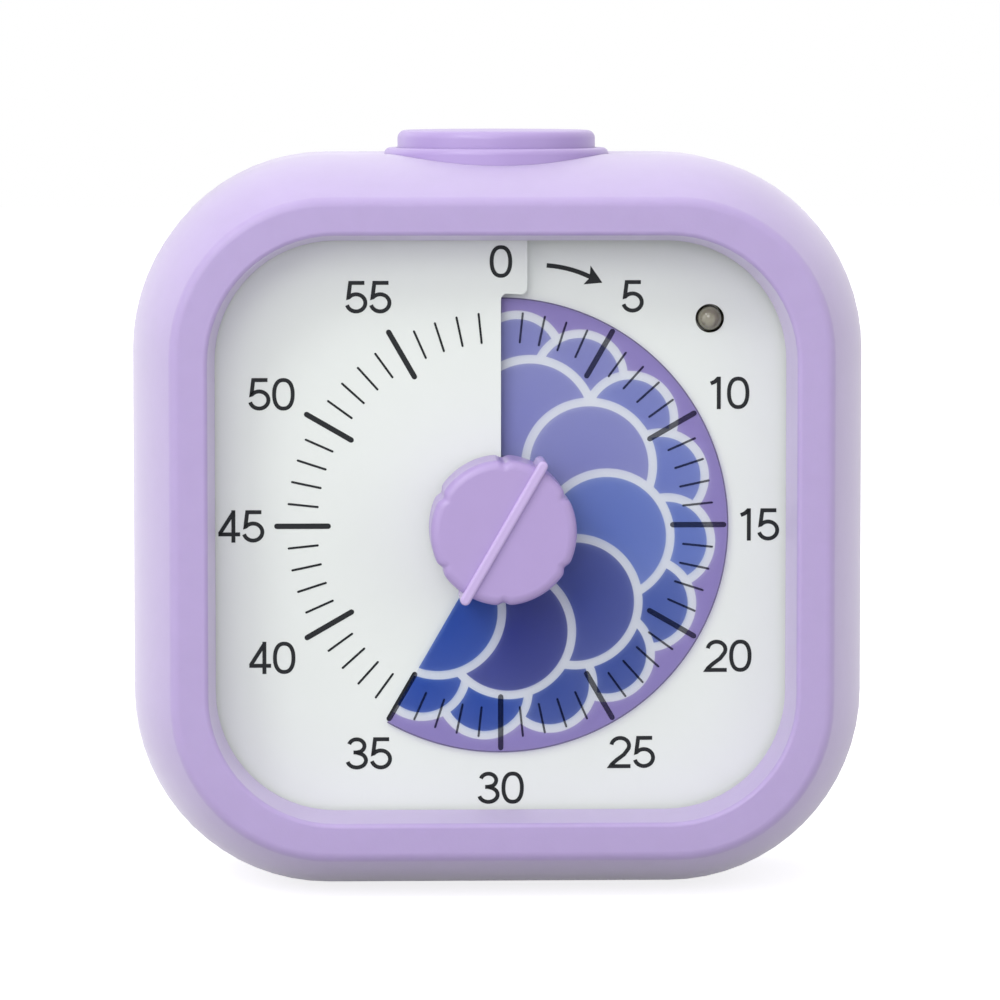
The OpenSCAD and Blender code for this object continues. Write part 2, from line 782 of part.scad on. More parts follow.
module second_wheel() {
    color("#f0efe9") facing() geared(second_at, wheel_teeth, level_c, turn_rotor,
        level_b - 0.5, level_c + eps, turn_second + 180 + 180 / pinion_teeth);
}

module rotor() {
    color("#55575c") facing() translate([rotor_at[0], rotor_at[1], 0]) {
        rod([0, 0], magnet_r, stator_d - 0.9, stator_d + stator_t + 0.9);
        slab(stator_d + stator_t + 0.8, level_c + wheel_t + 0.4)
            rotate(turn_rotor + 180 + 180 / pinion_teeth) gear_outline(pinion_teeth);
        rod([0, 0], arbor_r, case_d + 0.5, case_rear - 0.5);
    }
}

// ---------- electronics ----------

module circuit_board() {
    color("#2f7d4f") facing() slab(board_d, board_d + board_t) difference() {
        translate([0, (board_low + board_high) / 2])
            rounded(board_w, board_high - board_low, 2);
        for (p = pillars) translate(p) circle(small_screw_r + 0.2);
        for (p = leads) translate(p) circle(lead_r + run_fit);
    }
}

module board_screws() {
    color("silver") facing() for (p = pillars)
        screw(p, small_screw_r, small_head_r, small_head_t, board_d - 4.5, board_d + board_t);
}

module buzzer() {
    color("#26262a") facing() difference() {
        rod(buzzer_at, buzzer_r, board_d + board_t, board_d + board_t + buzzer_t);
        rod(buzzer_at, 1, board_d + board_t + buzzer_t - 2, board_d + board_t + buzzer_t + 1);
    }
}

module tact_switch() {
    color("#2a2a2e") facing() {
        slab(button_d - tact_depth / 2, board_d) span(-3, 3, tact_top - 4, tact_top);
        translate([0, tact_top - eps, -button_d]) rotate([-90, 0, 0])
            cylinder(r = 1.7, h = tact_stem + eps);
    }
}

// Fixed part of the sound switch, a channel that the slider's shoe runs in.
module sound_switch() {
    color("#3c3c42") facing() difference() {
        slab(cavity_end - 4.6, cavity_end - seat_fit) translate(slider_at)
            square([10.8, 5], center = true);
        slab(cavity_end - 1.3, cavity_end + 1) translate(slider_at) square([9.4, 3.5], center = true);
    }
}

module sound_slider() {
    color("#3c3c42") facing() {
        slab(cavity_end - 1.15, cavity_end - 0.25) translate(slider_at)
            square([5, 3.1], center = true);
        slab(cavity_end - 0.3, body_depth - 0.2) translate(slider_at)
            square([nub_l, nub_w], center = true);
    }
}

// ---------- batteries ----------

// Places something for each cell, turned end for end on the lower one, with z along the cell.
module each_cell() {
    facing() for (s = [-1, 1])
        translate([0, bay_y + s * (cell_d + cell_gap) / 2, -cell_depth])
            rotate([0, s * 90, 0]) children();
}

module battery_cells() {
    nub_t = 1.2;
    color("#3f4348") each_cell() translate([0, 0, cell_flat]) {
        cylinder(d = cell_d, h = cell_l - nub_t);
        cylinder(r = 1.9, h = cell_l);
    }
}

// A square sheet-metal contact against the end of the bay, from z along the cell.
module contact_blade(z) {
    translate([0, 0, z]) linear_extrude(contact_t) square(contact_w, center = true);
}

module contact_springs() {
    plate = -bay_l / 2;
    color("silver") each_cell() {
        contact_blade(plate);
        translate([0, 0, plate + contact_t - 0.15])
            coil(3.6, 2.2, cell_flat - plate - contact_t + 0.1, 3.5, 0.3);
    }
}

module contact_plates() {
    color("silver") each_cell() {
        contact_blade(bay_l / 2 - contact_t);
        translate([0, 0, bay_l / 2 - contact_t - bump_t]) cylinder(r = 1.6, h = bump_t + eps);
    }
}

module battery_door() {
    color("#b9a7d6") facing() difference() {
        union() {
            slab(door_in, body_depth)
                span(-door_w / 2, door_w / 2, door_axis_y, door_low + door_h);
            slab(door_in, body_depth) door_notch(2 * gap_fit);
            translate([-door_w / 2, door_axis_y, -door_axis_d]) rotate([0, 90, 0])
                cylinder(r = door_t / 2, h = door_w);
            translate([-door_w / 2 - pin_l, door_axis_y, -door_axis_d]) rotate([0, 90, 0])
                cylinder(r = pin_r, h = door_w + 2 * pin_l);
        }
        // grip grooves below the finger tab
        for (i = [0:3]) slab(body_depth - 0.4, body_depth + 1)
            translate([0, door_low + door_h - 4 - 1.6 * i]) square([14, 0.7], center = true);
    }
}

// ---------- top button ----------

module button_collar() {
    color("#c4b3de") translate([0, button_y, 0]) difference() {
        rotate_extrude() union() {
            span(0, collar_r, collar_low, collar_top - collar_edge_r);
            span(0, collar_r - collar_edge_r, collar_low, collar_top);
            translate([collar_r - collar_edge_r, collar_top - collar_edge_r])
                circle(collar_edge_r);
        }
        translate([0, 0, collar_low + collar_floor]) cylinder(r = button_r + gap_fit, h = body_h);
        translate([0, 0, collar_low - 1]) cylinder(r = plunger_r + run_fit, h = 5);
    }
}

module top_button() {
    skirt_low = collar_low + collar_floor + button_travel + 0.2;
    top = collar_top + button_rise;
    color("#c4b3de") translate([0, button_y, 0]) difference() {
        union() {
            difference() {
                rotate_extrude() union() {
                    span(0, button_r, skirt_low, top - button_edge_r);
                    span(0, button_r - button_edge_r, skirt_low, top);
                    translate([button_r - button_edge_r, top - button_edge_r])
                        circle(button_edge_r);
                }
                translate([0, 0, skirt_low - 1])
                    cylinder(r = button_r - cap_t, h = top - cap_t - skirt_low + 1);
            }
            translate([0, 0, plunger_low]) cylinder(r = plunger_r, h = top - 1 - plunger_low);
        }
        // groove for the clip
        translate([0, 0, collar_low - 0.9]) difference() {
            cylinder(r = plunger_r + 1, h = 0.7);
            cylinder(r = plunger_r - 0.6, h = 0.7);
        }
    }
}

module button_clip() {
    color("silver") translate([0, button_y, collar_low - 0.85]) linear_extrude(0.6) difference() {
        circle(plunger_r + 1.3);
        circle(plunger_r - 0.55);
        span(-1.2, 1.2, -5, 0);
    }
}

module button_spring() {
    foot = collar_low + collar_floor + 0.05;
    color("silver") translate([0, button_y, foot])
        coil(spring_r, spring_r, collar_top + button_rise - cap_t - foot - 0.05, 4, spring_wire / 2);
}

body_shell();
rear_cover();
dial_card();
dial_chassis();
chassis_screws();
led_lens();
led_leads();
movement_cover();
movement_base();
movement_screws();
motor_stator();
motor_coil();
centre_bush();
mounting_nut();
circuit_board();
board_screws();
buzzer();
tact_switch();
sound_switch();
battery_cells();
contact_springs();
contact_plates();
housing_screws();
button_collar();
button_spring();
sound_slider();
battery_door();
top_button();
button_clip();
knob();
spindle();
clutch_spring();
timer_disc();
disc_hub();
centre_wheel();
third_wheel();
second_wheel();
rotor();
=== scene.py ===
"""Dresses the frame of a square visual countdown timer: moulded housing, printed dial, film disc,
knob, button, battery bay, works and stage. Sizes are worked out in millimetres from the frame."""

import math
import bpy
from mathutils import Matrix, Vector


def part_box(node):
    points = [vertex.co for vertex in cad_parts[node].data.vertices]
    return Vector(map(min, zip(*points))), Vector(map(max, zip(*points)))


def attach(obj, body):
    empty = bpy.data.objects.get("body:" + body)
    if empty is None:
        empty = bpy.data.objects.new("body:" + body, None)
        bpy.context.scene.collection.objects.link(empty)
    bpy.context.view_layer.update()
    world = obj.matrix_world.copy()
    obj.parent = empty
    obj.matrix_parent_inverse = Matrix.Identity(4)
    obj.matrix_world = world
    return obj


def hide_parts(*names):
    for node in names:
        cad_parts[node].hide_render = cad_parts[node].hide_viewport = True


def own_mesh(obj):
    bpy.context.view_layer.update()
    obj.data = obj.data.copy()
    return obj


bl_info = {
    "name": "Visual Countdown Timer",
    "version": (1, 0, 0),
    "blender": (4, 5, 0),
    "location": "View3D > Sidebar > Timer",
    "description": "Builds the pieces, finishes and stage of a square visual countdown timer",
    "category": "Object",
}

import bmesh
import bpy
from mathutils import Vector

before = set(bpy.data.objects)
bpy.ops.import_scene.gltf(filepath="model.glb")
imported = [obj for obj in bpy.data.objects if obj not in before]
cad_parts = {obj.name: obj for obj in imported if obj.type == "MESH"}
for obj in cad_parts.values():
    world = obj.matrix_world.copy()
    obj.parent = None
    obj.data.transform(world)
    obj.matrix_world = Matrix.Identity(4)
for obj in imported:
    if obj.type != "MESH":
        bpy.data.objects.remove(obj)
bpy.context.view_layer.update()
MM = 0.001


# ---------- sizes read from the frame, in millimetres ----------


def node_box(node):
    """Lowest and highest corner of a frame node, in millimetres."""
    return [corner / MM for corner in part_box(node)]


SHELL = node_box("body_shell")
COVER = node_box("rear_cover")
CARD = node_box("dial_card")
CHASSIS = node_box("dial_chassis")
FILM = node_box("timer_disc")
KNOB = node_box("knob")
COLLAR = node_box("button_collar")
BUTTON = node_box("top_button")
CELLS = node_box("battery_cells")
DOOR = node_box("battery_door")
LENS = node_box("led_lens")
SCREWS = node_box("housing_screws")
SLIDER = node_box("sound_slider")
SPRING = node_box("button_spring")

FRONT = SHELL[0].y
MIDDLE = (SHELL[0].z + SHELL[1].z) / 2
BODY_W = SHELL[1].x - SHELL[0].x
BODY_H = SHELL[1].z - SHELL[0].z
SHELL_END = SHELL[1].y - FRONT
BODY_DEPTH = COVER[1].y - FRONT

# Proportions of the mouldings
BODY_R = 24
FLARE = 5.15
FLARE_DEPTH = 20
WALL = 2
BEZEL = 10.25
WINDOW_R = 14.6
WINDOW_DRAFT = 0.85
CHUTE_DEPTH = 7.1
CHUTE_WALL = 1.5
REAR_EDGE = 3.5
CAVITY_END = BODY_DEPTH - WALL
WINDOW_W = BODY_W - 2 * BEZEL
WINDOW_H = BODY_H - 2 * BEZEL

# Dial: heights are depths behind the front face, angles run clockwise from the top
PITCH = 1.5
CARD_T = 0.5
CARD_D = CARD[0].y - FRONT + PITCH
CARD_HOLE_R = 7
CARD_OVERLAP = 0.85
DISC_R = FILM[1].x
DISC_T = 0.3
DISC_GAP = 0.25
DISC_LEAD = 210
DISC_TAIL = -140
HUB_R = 6
FLAP_R = DISC_R + 0.5
FLAP_W = 3.2
CHASSIS_D = CHASSIS[0].y - FRONT
PLATE_T = 1.4
INK_T = 0.03
INK_ROOT = 0.02

# Knob, lamp and button
BAR_H = 0.55
BAR_W = 1.25
BAR_L = 19.8
KNOB_R = 8.8
KNOB_FACE = KNOB[0].y - FRONT + BAR_H
KNOB_BASE = KNOB[1].y - FRONT
NOTCHES = 6
NOTCH_R = 0.55
NOTCH_DEPTH = 0.36
SPINDLE_R = 1.5
LAMP_X = (LENS[0].x + LENS[1].x) / 2
LAMP_Y = (LENS[0].z + LENS[1].z) / 2 - MIDDLE
LAMP_R = 1.5
BUTTON_Y = (BUTTON[0].y + BUTTON[1].y) / 2
BUTTON_R = (BUTTON[1].x - BUTTON[0].x) / 2
COLLAR_R = (COLLAR[1].x - COLLAR[0].x) / 2

# Rear: screws, bay, door and sound slider
HEAD_R = 2.15
HEAD_DEPTH = BODY_DEPTH - 6
SCREW_X = SCREWS[1].x - HEAD_R
SCREW_Y = SCREWS[1].z - HEAD_R - MIDDLE
POST_R = 3
POST_END = HEAD_DEPTH - 6
PILOT_R = 1.15
PILOT_DEPTH = HEAD_DEPTH - 13
STUD_R = 2
STUD_BORE_R = 0.8
STUD_BORE_L = 5
STUD_X = BODY_W / 2 - 6.7
STUD_Y = 14
CELL_D = 10.5
CELL_Y = (CELLS[0].z + CELLS[1].z) / 2 - MIDDLE
CELL_PITCH = (CELLS[1].z - CELLS[0].z) - CELL_D
CELL_DEPTH = (CELLS[0].y + CELLS[1].y) / 2 - FRONT
CELL_L = 44.5
DOOR_T = 2
PIN_L = 1.2
PIN_R = 0.5
DOOR_W = DOOR[1].x - DOOR[0].x - 2 * PIN_L
DOOR_FOOT = DOOR[0].z - MIDDLE
TAB_R = 3.8
DOOR_TOP = DOOR[1].z - MIDDLE - TAB_R
DOOR_H = DOOR_TOP - DOOR_FOOT
DOOR_AXIS_Y = DOOR_FOOT + DOOR_T / 2
BAY_L = DOOR_W - 4.4
BAY_H = DOOR_H - 3.2
BAY_Y = (DOOR_FOOT + DOOR_TOP) / 2
BAY_WALL = 1.2
BAY_FLOOR = CELL_DEPTH - CELL_D / 2 - 0.15
GRILLE_AT = (-14, 14)
GRILLE_R = 3
HOLE_R = 0.9
SLIDER_AT = ((SLIDER[0].x + SLIDER[1].x) / 2, (SLIDER[0].z + SLIDER[1].z) / 2 - MIDDLE)

CORNER_STEPS = 16
ROUND_STEPS = 96


# ---------- properties ----------


def linear(code):
    """A colour written as sRGB hex, turned to linear red, green and blue."""
    values = [int(code[i : i + 2], 16) / 255 for i in (1, 3, 5)]
    return [v / 12.92 if v <= 0.04045 else ((v + 0.055) / 1.055) ** 2.4 for v in values]


def length(name, text, size):
    """A length property whose default is given in millimetres."""
    return bpy.props.FloatProperty(
        name=name, description=text, default=size * MM, min=0, unit="LENGTH", precision=5
    )


def paint(name, text, code):
    """A colour property whose default is given as sRGB hex."""
    return bpy.props.FloatVectorProperty(
        name=name, description=text, default=linear(code), size=3, min=0, max=1, subtype="COLOR"
    )


class CountdownSizes(bpy.types.PropertyGroup):
    """Sizes of edges, print and artwork."""

    front_edge: length("Front edge", "Rounding of the housing's front outer edge", 1.45)
    lip_edge: length("Window lip", "Rounding where the bezel turns into the window", 0.55)
    seam: length("Seam", "Chamfer on each side of the housing's parting line", 0.18)
    small_edge: length("Small edges", "Rounding of the door's and openings' edges", 0.22)
    knob_edge: length("Knob edge", "Rounding of the knob's front edge", 1.2)
    button_edge: length("Button edge", "Rounding of the button's upper edge", 1.0)
    collar_edge: length("Collar edge", "Rounding of the collar's upper edge", 0.75)
    five_width: length("Five-minute tick width", "Line width of the long ticks", 0.66)
    five_inner: length("Five-minute tick start", "Radius where the long ticks begin", 20.7)
    five_outer: length("Five-minute tick end", "Radius where the long ticks end", 27.6)
    minute_width: length("Minute tick width", "Line width of the short ticks", 0.27)
    minute_inner: length("Minute tick start", "Radius where the short ticks begin", 22.3)
    minute_outer: length("Minute tick end", "Radius where the short ticks end", 26.1)
    numeral_height: length("Numeral height", "Height of the numerals", 3.95)
    numeral_stroke: length("Numeral stroke", "Line width of the numerals", 0.48)
    numeral_radius: length("Numeral radius", "Distance of the numerals from the dial centre", 32.2)
    side_radius: length("Side numeral radius", "Distance of 15 and 45 from the centre", 31.6)
    arrow_width: length("Arrow width", "Line width of the arrow", 0.55)
    outline_width: length("Artwork outline", "Width of the pale outlines on the disc", 1.05)
    camera_distance: length("Camera distance", "Distance of the camera from the dial", 700)
    camera_field: length("Camera field", "Width seen at the dial", 122)


class CountdownColours(bpy.types.PropertyGroup):
    """Colours of the mouldings, the print and the works."""

    lavender: paint("Lavender ABS", "Housing and door", "#b4a2d0")
    knob: paint("Lavender ABS, fine", "Knob, button and collar", "#ad98cc")
    # the bar's colour is paler than the knob's: a painted highlight, for the lamps that its rounded top
    # mirrors
    pointer: paint("Lavender ABS, polished", "Raised bar on the knob", "#c3aede")
    card: paint("Dial card", "White of the dial card", "#e7ece7")
    ink: paint("Ink", "Ticks, numerals and arrow", "#15181b")
    outline: paint("Artwork outline", "Pale outlines on the disc", "#dfe4ea")
    ground: paint("Artwork ground", "Ground of the disc", "#9488c2")
    # the inks run paler near 0 and deeper towards 35: the print's own colours with a painted sheen, the
    # film's glare from the lamps above
    lilac: paint("Lilac ink", "Artwork around 0", "#868ac3")
    periwinkle: paint("Periwinkle ink", "Artwork around 15", "#677cc2")
    slate: paint("Slate blue ink", "Outer ring of the artwork around 25", "#4459a3")
    indigo: paint("Indigo ink", "Inner ring of the artwork around 25", "#3f4893")
    royal: paint("Royal blue ink", "Artwork around 35", "#2c4fa7")
    violet: paint("Violet ink", "Artwork around 50", "#6f65b1")
    # the disc's rim colour is a dark line painted along the film's cut edge: painted shade
    rim: paint("Disc rim", "Cut edge of the disc", "#575172")
    lens: paint("Lamp", "Indicator lamp's tinted epoxy", "#8c8873")
    chassis: paint("Black plastic", "Chassis, switches and buzzer", "#2b2c30")
    ivory: paint("Natural plastic", "Movement case and wheels", "#dcdad0")
    steel: paint("Zinc-plated steel", "Screws, spindle and contacts", "#c3c5c8")
    brass: paint("Brass", "Bush and nut", "#c8a557")
    copper: paint("Copper wire", "Winding of the motor's coil", "#a8552a")
    board: paint("Solder mask", "Circuit board", "#1f6b43")
    sleeve: paint("Cell sleeve", "Main colour of the cells' sleeve", "#2d3238")
    band: paint("Cell band", "Band at the cells' plus end", "#b8873c")


def mm(name):
    """A size property in millimetres."""
    return getattr(bpy.context.scene.countdown_sizes, name) / MM


def colour(name):
    """A colour property as red, green, blue and alpha."""
    return (*getattr(bpy.context.scene.countdown_colours, name), 1)


# ---------- places ----------


def dial(x, y, depth):
    """World point, in millimetres, of a place on the dial: right, up and behind the front."""
    return Vector((x, FRONT + depth, MIDDLE + y))


def facing(x0=0, y0=0):
    """Places an outline in the dial's plane around a point, at a depth."""
    return lambda u, v, depth: dial(x0 + u, y0 + v, depth)


def upright(x0, y0):
    """Places an outline flat around a vertical axis, at a height."""
    return lambda u, v, height: Vector((x0 + u, y0 + v, height))


def lying(y0, depth, end=1):
    """Places an outline around an axis that lies along X; end turns it end for end."""
    return lambda u, v, along: dial(end * along, y0 + v, depth + end * u)


# ---------- outlines, as lists of flat points running counterclockwise ----------


def arc(cx, cy, rx, ry, start, end, steps):
    """Points on an ellipse's arc between two angles in degrees."""
    turns = [math.radians(start + (end - start) * i / steps) for i in range(steps + 1)]
    return [(cx + rx * math.cos(a), cy + ry * math.sin(a)) for a in turns]


def circle(r, steps=ROUND_STEPS):
    """Points of a full circle."""
    return arc(0, 0, r, r, 0, 360, steps)[:-1]


def rounded(hw, hh, r, steps=CORNER_STEPS):
    """A rectangle of half width hw and half height hh with corners of radius r."""
    corners = [(hw - r, hh - r), (r - hw, hh - r), (r - hw, r - hh), (hw - r, r - hh)]
    return [p for q, (x, y) in enumerate(corners) for p in arc(x, y, r, r, 90 * q, 90 * q + 90, steps)]


def stadium(half_length, half_width, steps=8):
    """An upright bar with half-round ends."""
    straight = half_length - half_width
    return arc(0, straight, half_width, half_width, 0, 180, steps) + arc(
        0, -straight, half_width, half_width, 180, 360, steps
    )


def inset(outline, amount):
    """The outline drawn in by an amount, kept parallel to itself."""
    points = []
    for i, (x, y) in enumerate(outline):
        x0, y0 = outline[i - 1]
        x1, y1 = outline[(i + 1) % len(outline)]
        before = Vector((x - x0, y - y0)).normalized()
        after = Vector((x1 - x, y1 - y)).normalized()
        inward = Vector((-before.y - after.y, before.x + after.x)).normalized()
        reach = amount / max(0.4, inward.dot(Vector((-before.y, before.x))))
        points.append((x + inward.x * reach, y + inward.y * reach))
    return points


def turned_by(outline, degrees):
    """The outline turned clockwise about the centre."""
    a = math.radians(degrees)
    return [(x * math.cos(a) + y * math.sin(a), y * math.cos(a) - x * math.sin(a)) for x, y in outline]


# ---------- parts: pairs of points and faces, which solid() joins into a piece ----------


def skin(rings, closed=False):
    """Skins rings of equal length in order; closed joins the last ring to the first, otherwise
    both ends are capped."""
    n = len(rings[0])
    count = len(rings)
    points = [p for one in rings for p in one]
    faces = []
    for k in range(count if closed else count - 1):
        a, b = k * n, (k + 1) % count * n
        faces += [(a + i, a + (i + 1) % n, b + (i + 1) % n, b + i) for i in range(n)]
    if not closed:
        faces += [tuple(range(n)), tuple(range((count - 1) * n, count * n))]
    return points, faces


def loft(sections, closed=False):
    """A part through rounded-rectangle sections: depth, half width, half height, corner."""
    return skin([[dial(x, y, s[0]) for x, y in rounded(*s[1:])] for s in sections], closed)


def stack(outline, levels, place=None):
    """A part through insets of one outline: levels are pairs of depth and inset."""
    put = place or facing()
    return skin([[put(x, y, d) for x, y in inset(outline, i)] for d, i in levels])


def prism(outline, d0, d1, place=None):
    """An outline carried straight from one depth to another."""
    put = place or facing()
    return skin([[put(x, y, d) for x, y in outline] for d in (d0, d1)])


def turned(profile, place, closed=False, steps=ROUND_STEPS):
    """A part turned from a profile of pairs of radius and height. Closed makes a tube."""
    rings = [[place(x, y, h) for x, y in circle(r, steps)] for r, h in profile]
    return skin(rings, closed)


def helicoid(start, end, step, radii, top, thickness, reach=None):
    """A plate on the dial's screw surface between two angles. Its top lies top above the card's
    plane; reach gives an outer radius for each angle."""
    count = math.ceil((end - start) / step)
    m = len(radii) + (1 if reach else 0)
    points = []
    for i in range(count + 1):
        turn = start + (end - start) * i / count
        a = math.radians(turn)
        stations = radii + ([reach(turn)] if reach else [])
        depth = CARD_D - PITCH * turn / 360 - top
        for level in (depth, depth + thickness):
            points += [dial(r * math.sin(a), r * math.cos(a), level) for r in stations]
    faces = []
    for i in range(count):
        a, b = i * 2 * m, (i + 1) * 2 * m
        for j in range(m - 1):
            faces.append((a + j, a + j + 1, b + j + 1, b + j))
            faces.append((a + m + j, b + m + j, b + m + j + 1, a + m + j + 1))
        faces.append((a, b, b + m, a + m))
        faces.append((a + m - 1, a + 2 * m - 1, b + 2 * m - 1, b + m - 1))
    for a in (0, count * 2 * m):
        faces += [(a + j, a + j + 1, a + m + j + 1, a + m + j) for j in range(m - 1)]
    return points, faces


def coil(place, r0, r1, h0, h1, turns, wire, per_turn=40, sides=10):
    """A round wire wound into a coil from radius r0 at h0 to r1 at h1."""
    rings = []
    for i in range(round(turns * per_turn) + 1):
        share = i / round(turns * per_turn)
        a = 2 * math.pi * turns * share
        across = arc(r0 + (r1 - r0) * share, h0 + (h1 - h0) * share, wire, wire, 0, 360, sides)[:-1]
        rings.append([place(r * math.cos(a), r * math.sin(a), h) for r, h in across])
    return skin(rings)


def solid(name, *parts):
    """An object made of one or more parts, with its faces turned outwards."""
    points, faces = [], []
    for part_points, part_faces in parts:
        faces += [tuple(i + len(points) for i in face) for face in part_faces]
        points += part_points
    mesh = bpy.data.meshes.new(name)
    mesh.from_pydata([p * MM for p in points], [], faces)
    shape = bmesh.new()
    shape.from_mesh(mesh)
    bmesh.ops.remove_doubles(shape, verts=shape.verts, dist=0.000001)
    bmesh.ops.recalc_face_normals(shape, faces=shape.faces)
    shape.to_mesh(mesh)
    shape.free()
    piece = bpy.data.objects.new(name, mesh)
    bpy.context.scene.collection.objects.link(piece)
    return piece


def applied(piece):
    """Makes a piece's modifiers part of its mesh."""
    bpy.context.view_layer.update()
    graph = bpy.context.evaluated_depsgraph_get()
    old = piece.data
    piece.data = bpy.data.meshes.new_from_object(piece.evaluated_get(graph))
    piece.modifiers.clear()
    name = old.name
    bpy.data.meshes.remove(old)
    piece.data.name = name
    return piece


def combine(piece, parts, operation):
    """Adds parts to a piece or cuts them from it, one after another."""
    tools = [solid(f"tool_{i}", part) for i, part in enumerate(parts)]
    for tool in tools:
        step = piece.modifiers.new("combine", "BOOLEAN")
        step.operation = operation
        step.solver = "EXACT"
        step.object = tool
    applied(piece)
    if not piece.data.polygons:
        raise RuntimeError(f"{piece.name} lost its faces in a boolean")
    for tool in tools:
        mesh = tool.data
        bpy.data.objects.remove(tool)
        bpy.data.meshes.remove(mesh)
    return piece


def finished(piece, finish, body, nodes=(), crease=32):
    """Gives a piece its smoothing, finish, body, slot and the frame nodes that it stands for."""
    piece.data.materials.clear()
    piece.data.materials.append(finish)
    piece.data.shade_smooth()
    piece.data.set_sharp_from_angle(angle=math.radians(crease))
    weighted = piece.modifiers.new("weighted", "WEIGHTED_NORMAL")
    weighted.keep_sharp = True
    weighted.weight = 60
    applied(piece)
    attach(piece, body)
    if nodes:
        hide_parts(*nodes)
    return piece


def refinish(node, finish):
    """Gives a frame node that keeps its shape a finish."""
    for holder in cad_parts[node].material_slots:
        holder.material = finish


# ---------- finishes ----------


def add(holder, kind, inputs=None, **settings):
    """Adds a node to a finish or the world, with its settings and its inputs, which are values or
    sockets to link."""
    node = holder.node_tree.nodes.new(kind)
    for key, value in settings.items():
        setattr(node, key, value)
    for key, value in (inputs or {}).items():
        if isinstance(value, bpy.types.NodeSocket):
            holder.node_tree.links.new(value, node.inputs[key])
        else:
            node.inputs[key].default_value = value
    return node


def new_finish(name, base, roughness, **values):
    """A material with its main shader set: values are inputs by name, with _ for a blank."""
    finish = bpy.data.materials.get(name)
    if finish:
        bpy.data.materials.remove(finish)
    finish = bpy.data.materials.new(name)
    finish.use_nodes = True
    finish.diffuse_color = base
    shader = finish.node_tree.nodes["Principled BSDF"]
    shader.inputs["Base Color"].default_value = base
    shader.inputs["Roughness"].default_value = roughness
    for key, value in values.items():
        shader.inputs[key.replace("_", " ")].default_value = value
    return finish, shader


def link(holder, source, target):
    """Links two sockets of a finish or the world."""
    holder.node_tree.links.new(source, target)


def grain(finish, shader, size, relief, detail=2):
    """Relief of a given grain size in millimetres, in object space."""
    place = add(finish, "ShaderNodeTexCoord")
    noise = add(
        finish,
        "ShaderNodeTexNoise",
        {"Vector": place.outputs["Object"], "Scale": 1 / (size * MM), "Detail": detail, "Roughness": 0.6},
    )
    bump = add(
        finish,
        "ShaderNodeBump",
        {"Height": noise.outputs[0], "Distance": relief * MM, "Strength": 1.0},
    )
    link(finish, bump.outputs[0], shader.inputs["Normal"])
    return noise


def mottle(finish, shader, base, size, amount):
    """Slight unevenness of the colour over a size in millimetres."""
    place = add(finish, "ShaderNodeTexCoord")
    noise = add(
        finish,
        "ShaderNodeTexNoise",
        {"Vector": place.outputs["Object"], "Scale": 1 / (size * MM), "Detail": 3, "Roughness": 0.5},
    )
    low = [v * (1 - amount) for v in base[:3]] + [1]
    high = [min(1, v * (1 + amount)) for v in base[:3]] + [1]
    ramp = add(finish, "ShaderNodeMix", {0: noise.outputs[0], 6: low, 7: high}, data_type="RGBA")
    link(finish, ramp.outputs[2], shader.inputs["Base Color"])
    return ramp


# Grain and machining marks measure 0.02 to 0.1 mm on the real finishes, too fine to show, so each
# is drawn about four times as coarse. Paler and darker patches of the colour are 0.4 to 6 mm wide.


def lavender_abs():
    """ABS moulded against a spark-eroded steel: a dense satin grain that scatters highlights. Some
    light passes through the skin, which softens the shade in the recess."""
    base = colour("lavender")
    finish, shader = new_finish(
        "Lavender ABS, spark-eroded mould",
        base,
        0.44,
        IOR=1.53,
        Sheen_Weight=0.6,
        Sheen_Roughness=0.4,
        Subsurface_Weight=0.35,
        Subsurface_Radius=(1.0, 0.8, 0.95),
        Subsurface_Scale=1.4 * MM,
    )
    mottle(finish, shader, base, 2.5, 0.035)
    grain(finish, shader, 0.32, 0.012, 3)
    return finish


def smooth_abs():
    """ABS moulded against a finely blasted steel: a closer, glossier grain and a deeper colour."""
    base = colour("knob")
    finish, shader = new_finish("Lavender ABS, fine blasted mould", base, 0.34, IOR=1.53)
    mottle(finish, shader, base, 3, 0.025)
    grain(finish, shader, 0.2, 0.005, 2)
    return finish


def polished_abs_painted_highlight():
    """ABS moulded against a polished face: the knob's bar. Its colour, paler than the knob's, is a painted
    highlight for the lamps and room that the bar mirrors.
    """
    base = colour("pointer")
    finish, shader = new_finish("Lavender ABS, polished mould, painted highlight", base, 0.26, IOR=1.53)
    mottle(finish, shader, base, 3, 0.02)
    grain(finish, shader, 0.35, 0.002, 2)
    return finish


def card_white():
    """White polypropylene sheet with a matt face, which takes the ink without shine."""
    base = colour("card")
    finish, shader = new_finish("White polypropylene sheet, matt", base, 0.6, IOR=1.49)
    mottle(finish, shader, base, 6, 0.012)
    grain(finish, shader, 0.15, 0.002, 2)
    return finish


def screen_ink():
    """Screen-printed ink: near black with a faint sheen and a slightly uneven film."""
    base = colour("ink")
    finish, shader = new_finish("Screen ink, black", base, 0.65, IOR=1.5, Specular_IOR_Level=0.3)
    mottle(finish, shader, base, 0.4, 0.15)
    grain(finish, shader, 0.1, 0.003, 2)
    return finish


# Rings of the artwork: number of discs, turn as a share of one step, ring radius, disc radius
OUTER_RING = (16, 0.25, 20.4, 5.9)
INNER_RING = (9, 0.1, 13.0, 8.3)
